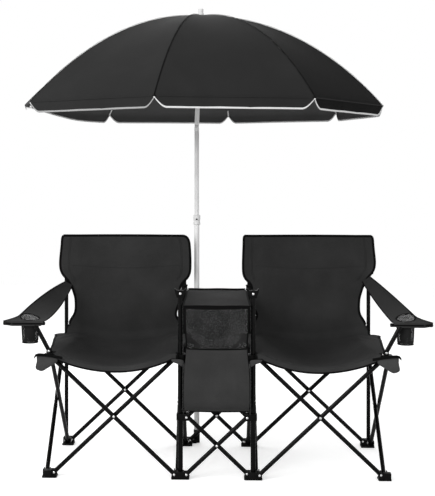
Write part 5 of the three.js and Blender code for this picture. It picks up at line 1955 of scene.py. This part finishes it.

# %% [markdown] The canopy's panel of painted shade and its underside of painted light
# The front right panel takes a darker copy of the canopy cloth, which is painted shade, and the underside
# takes a lighter copy, which is painted light; these faces take the second and the third material.

# %% The canopy's deeper panel and its lining
def face_angle(face):
    """The direction from the pole to a face, with the lean taken back."""
    x, y, z = (value / MM for value in face.center)
    return math.atan2(y, x - LEAN * max(0, z - TILT_Z))


canopy.data.materials.append(CANOPY_PAINTED_SHADE)
canopy.data.materials.append(CANOPY_PAINTED_LIGHT)
# Faces that look inward get the lighter copy, painted light; the front right panel's outer faces get the
# darker copy, painted shade.
for face in canopy.data.polygons:
    angle = face_angle(face)
    outside = face.normal.dot(Vector((math.cos(angle), math.sin(angle), 0.6))) > 0
    if not outside:
        face.material_index = 2
    elif RIB_PHASE - RIB_STEP < angle < RIB_PHASE:
        face.material_index = 1

# %% [markdown]
# ### Seams and piping
# A seam shows as a raised dark line over each rib, and a second line runs along the rim, where the
# valance is sewn on. The valance's hem is bound with silver piping, the brightest line of the canopy;
# along the front left panel it takes a darker copy of its material, which is painted shade.

# %% Silver piping on the hem
HEM_HEIGHT = 3.6
HEM_RAISED = HEM_HEIGHT * 0.6


def rim_strip(name, out_of, drop_of, half_out, half_up):
    """A closed strip round the rim; two functions of the angle and share give its place."""
    path = []
    for angle, share in canopy_angles:
        way = (math.cos(angle), math.sin(angle), 0)
        path.append((rim_point(angle, out_of(angle, share), drop_of(angle, share)), way, UPWARD))
    return swept(name, path, half_out, half_up, closed=True)


piping = rim_strip(
    "umbrella_hem_piping", hem_out, lambda a, share: hem_drop(a, share) - HEM_RAISED, 2.4, HEM_HEIGHT
)
dress(piping, SILVER_TAPE, "umbrella_top")
piping.data.materials.append(PIPING_PAINTED_SHADE)
# Along the front left panel the piping takes its darker copy: painted shade.
for face in piping.data.polygons:
    if RIB_PHASE - 3 * RIB_STEP < face_angle(face) < RIB_PHASE - 2 * RIB_STEP:
        face.material_index = 1

# %% Panel seams and the rim band
RIB_ANGLES = [RIB_PHASE + RIB_STEP * rib for rib in range(RIBS)]
SEAM_LIFTED = 1.5
RIM_SEAM_OUT, RIM_SEAM_DOWN = 0.5, 1.0
# Away from the ribs the rim's line looks like the canopy; this near to a rib, in radians, it is dark.
RIM_FROM = 0.8 * RIM_RADIUS * MM
RIB_NEAR = 0.006
seams = []
for rib, angle in enumerate(RIB_ANGLES):
    places = [dome_point(angle, radius, SEAM_LIFTED) for radius in RING_RADII]
    side_way = (-math.sin(angle), math.cos(angle), 0)
    seams.append(strip(f"umbrella_seam_{rib}", places, side_way, UPWARD, 2.2, 0.7))
seams.append(
    rim_strip("umbrella_rim_seam", lambda *_: RIM_SEAM_OUT, lambda *_: RIM_SEAM_DOWN, 0.8, 2.2)
)
seam_piece = joined("umbrella_seams", seams)
dress(seam_piece, BINDING, "umbrella_top")
seam_piece.data.materials.append(CANOPY_CLOTH)
for face in seam_piece.data.polygons:
    past_rib = (face_angle(face) - RIB_PHASE) % RIB_STEP
    far_out = math.hypot(face.center.x, face.center.y) > RIM_FROM
    if far_out and min(past_rib, RIB_STEP - past_rib) > RIB_NEAR:
        face.material_index = 1
print("seam faces", len(seam_piece.data.polygons))

# %% [markdown]
# ### Ribs, runner and stretchers
# Eight thin ribs lie under the seams, from the crown to the rim. Each ends in a small white cap that
# is sewn into the notch. Eight stretchers run up from a sliding runner to the middle of the ribs.

# %% Ribs and stretchers
RIB_RADIUS, RIB_BELOW = 2.2, 4.2
RIB_START, RIB_END = 18, 756.6
STRETCH_AT, STRETCH_BELOW, STRETCH_RADIUS = 397, 8, 1.8
TIP_BACK, TIP_RADIUS = 12, 3.4
RUNNER_RADIUS = 19
RUNNER_LOW, RUNNER_HIGH = 1483, 1517


def rod(name, places, radius):
    """A round rod through several drawing places, with closed ends."""
    return tape(name, places, radius, radius, sides=10)


def rib_point(angle, radius, below):
    """A point under the canopy, on a rib's line."""
    x, y, z = dome_point(angle, radius)
    return (x, y, z - below)


rods, tips = [], []
for rib, angle in enumerate(RIB_ANGLES):
    stations = spaced(RIB_START, RIB_END - RIB_START, 14)
    rods.append(rod(f"rib_{rib}", [rib_point(angle, r, RIB_BELOW) for r in stations], RIB_RADIUS))
    runner_x = POLE_X + RUNNER_RADIUS * math.cos(angle)
    runner_y = POLE_Y + RUNNER_RADIUS * math.sin(angle)
    start = leaned((runner_x, runner_y, RUNNER_HIGH - 2))
    places = [start, rib_point(angle, STRETCH_AT, STRETCH_BELOW)]
    rods.append(rod(f"stretcher_{rib}", places, STRETCH_RADIUS))
    places = [rib_point(angle, RIB_END - TIP_BACK, 6.0), rib_point(angle, RIM_RADIUS - 1.0, 8.0)]
    tips.append(rod(f"tip_{rib}", places, TIP_RADIUS))
rib_piece = joined("umbrella_rib_rods", rods)
dress(rib_piece, SPRING_STEEL, "umbrella_top", "umbrella_ribs")
tip_piece = joined("umbrella_rib_tips", tips)
dress(tip_piece, PALE_PLASTIC, "umbrella_top")
print("rib rods", len(rods))

# %% [markdown]
# ### Turned parts
# The runner, the crown, the finial and the pole's lock are turned shapes: a profile of radius and
# height, spun round the pole. Each profile below is a list of shares of one radius and one height.

# %% A turned piece
TUBE_PROFILE = ((0.96, 0), (1, 0.002), (1, 0.25), (1, 0.5), (1, 0.75), (1, 0.998), (0.96, 1))
RUNNER_PROFILE = ((0.62, 0), (0.66, 0.08), (0.66, 0.6), (0.95, 0.66), (1, 0.72), (1, 0.94), (0.9, 1))
CROWN_PROFILE = ((0.7, 0), (1, 0.1), (1, 0.55), (0.6, 0.8), (0.45, 1))
FINIAL_PROFILE = (
    (0.8, 0), (1, 0.06), (1, 0.26), (0.94, 0.34), (0.82, 0.38),
    (0.78, 0.5), (0.82, 0.85), (0.76, 0.95), (0.5, 1),
)
LOCK_PROFILE = (
    (0.88, 0), (1, 0.04), (1, 0.2), (0.9, 0.28), (0.9, 0.5), (1, 0.56), (1, 0.9), (0.9, 1),
)


def turned(name, low, height, radius, profile, lean=False):
    """A turned piece; the profile is (radius share, height share) from the bottom to the top."""
    points = []
    for across, up in profile:
        reach = across * radius
        for _, way_x, way_y in turns(ROUND):
            spot = (POLE_X + reach * way_x, POLE_Y + reach * way_y, low + up * height)
            points.append(place(*(leaned(spot) if lean else spot)))
    faces = spun_faces(len(profile), ROUND) + end_faces(len(profile), ROUND)
    obj = mesh_object(name, points, faces)
    outward(obj)
    rounded(obj, 0.5, 2, 35)
    smooth(obj, 40)
    return obj


# %% Mast, runner, crown and finial
MAST_RADIUS = 9.5
MAST_LOW, MAST_HIGH = 1336, 1790
RUNNER_HEIGHT = RUNNER_HIGH - RUNNER_LOW
CROWN_Z, CROWN_HEIGHT, CROWN_RADIUS = 1774, 16, 22
FINIAL_Z, FINIAL_HEIGHT, FINIAL_RADIUS = 1795.3, 31, 13.5
mast = turned("umbrella_mast", MAST_LOW, MAST_HIGH - MAST_LOW, MAST_RADIUS, TUBE_PROFILE, True)
dress(mast, PALE_PAINT, "umbrella_top")
TOP_PARTS = (
    ("runner", RUNNER_LOW, RUNNER_HEIGHT, RUNNER_RADIUS, RUNNER_PROFILE, "umbrella_runner"),
    ("crown", CROWN_Z, CROWN_HEIGHT, CROWN_RADIUS, CROWN_PROFILE, None),
    ("finial", FINIAL_Z, FINIAL_HEIGHT, FINIAL_RADIUS, FINIAL_PROFILE, "umbrella_finial"),
)
for word, low, height, radius, profile, node in TOP_PARTS:
    part = turned(f"umbrella_{word}", low, height, radius, profile, True)
    dress(part, PALE_PLASTIC, "umbrella_top", node)
print("turned pieces on the tilting top", 1 + len(TOP_PARTS))

# %% The poles and the lock
LOWER_POLE_RADIUS = 11
LOWER_POLE_LOW, LOWER_POLE_HIGH = 6, 950
UPPER_POLE_LOW, UPPER_POLE_HIGH = 800, TILT_Z - 12
LOCK_Z, LOCK_HEIGHT = 916, 41
FLANGE_RADIUS = 15
BUTTON_Z, BUTTON_RADIUS = 940, 3.4


def pole_tube(word, low, high, radius):
    """The lower or the upper pole, as a painted tube."""
    tube = turned(f"umbrella_{word}_tube", low, high - low, radius, TUBE_PROFILE)
    dress(tube, PALE_PAINT, f"umbrella_pole_{word}", f"umbrella_pole_{word}")


pole_tube("lower", LOWER_POLE_LOW, LOWER_POLE_HIGH, LOWER_POLE_RADIUS)
lock = turned("umbrella_lock_ring", LOCK_Z, LOCK_HEIGHT, FLANGE_RADIUS, LOCK_PROFILE)
dress(lock, PALE_PLASTIC, "umbrella_pole_lower", "umbrella_lock_collar")
button_rear, button_front = (
    (POLE_X, POLE_Y - FLANGE_RADIUS + step, BUTTON_Z) for step in (1, -0.6)
)
button = capped_tube("umbrella_lock_knob", button_rear, button_front, BUTTON_RADIUS, sides=20)
dress(button, BLACK_PLASTIC, "umbrella_lock_button", "umbrella_lock_button")
pole_tube("upper", UPPER_POLE_LOW, UPPER_POLE_HIGH, MAST_RADIUS)
print("lock faces", len(lock.data.polygons))

# %% [markdown]
# ### The tilt joint
# The upper pole ends in a flat fork with two cheeks. A white tongue hangs between them from the
# umbrella's mast, and a pin goes through all three.

# %% Fork, tongue and pin
CHEEK_IN, CHEEK_OUT = 6.3, 9.3
CHEEK_FOOT_Z = TILT_Z - 14
TONGUE_RADIUS = 8.8
TONGUE_HALF = 6
TONGUE_TOP_Z = TILT_Z + 13
PIN_REACH, PIN_RADIUS = 10.4, 3.2


def half_round(start, radius):
    """Half a circle round the pin, as (x, z) places."""
    return [
        (POLE_X + radius * math.cos(turn), TILT_Z + radius * math.sin(turn))
        for turn in spaced(start, math.pi, 12)
    ]


foot = [(POLE_X - MAST_RADIUS, CHEEK_FOOT_Z), (POLE_X + MAST_RADIUS, CHEEK_FOOT_Z)]
cheeks = []
for way in (-1, 1):
    y0, y1 = sorted((POLE_Y + way * CHEEK_IN, POLE_Y + way * CHEEK_OUT))
    cheeks.append(plate(f"tilt_cheek_{way}", foot + half_round(0, MAST_RADIUS), y0, y1, 0.6))
fork = joined("umbrella_tilt_fork", cheeks)
dress(fork, PALE_PAINT, "umbrella_pole_upper")
pin_ends = [(POLE_X, POLE_Y + way * PIN_REACH, TILT_Z) for way in (-1, 1)]
pin = capped_tube("umbrella_tilt_pin", *pin_ends, PIN_RADIUS, sides=20)
dress(pin, ZINC, "umbrella_pole_upper")
tongue_top = [(POLE_X + TONGUE_RADIUS, TONGUE_TOP_Z), (POLE_X - TONGUE_RADIUS, TONGUE_TOP_Z)]
tongue_outline = half_round(math.pi, TONGUE_RADIUS) + tongue_top
tongue = plate(
    "umbrella_tilt_tongue", tongue_outline, POLE_Y - TONGUE_HALF, POLE_Y + TONGUE_HALF, 0.6
)
dress(tongue, PALE_PLASTIC, "umbrella_top")
print("tilt joint", len(fork.data.polygons) + len(tongue.data.polygons), "faces")
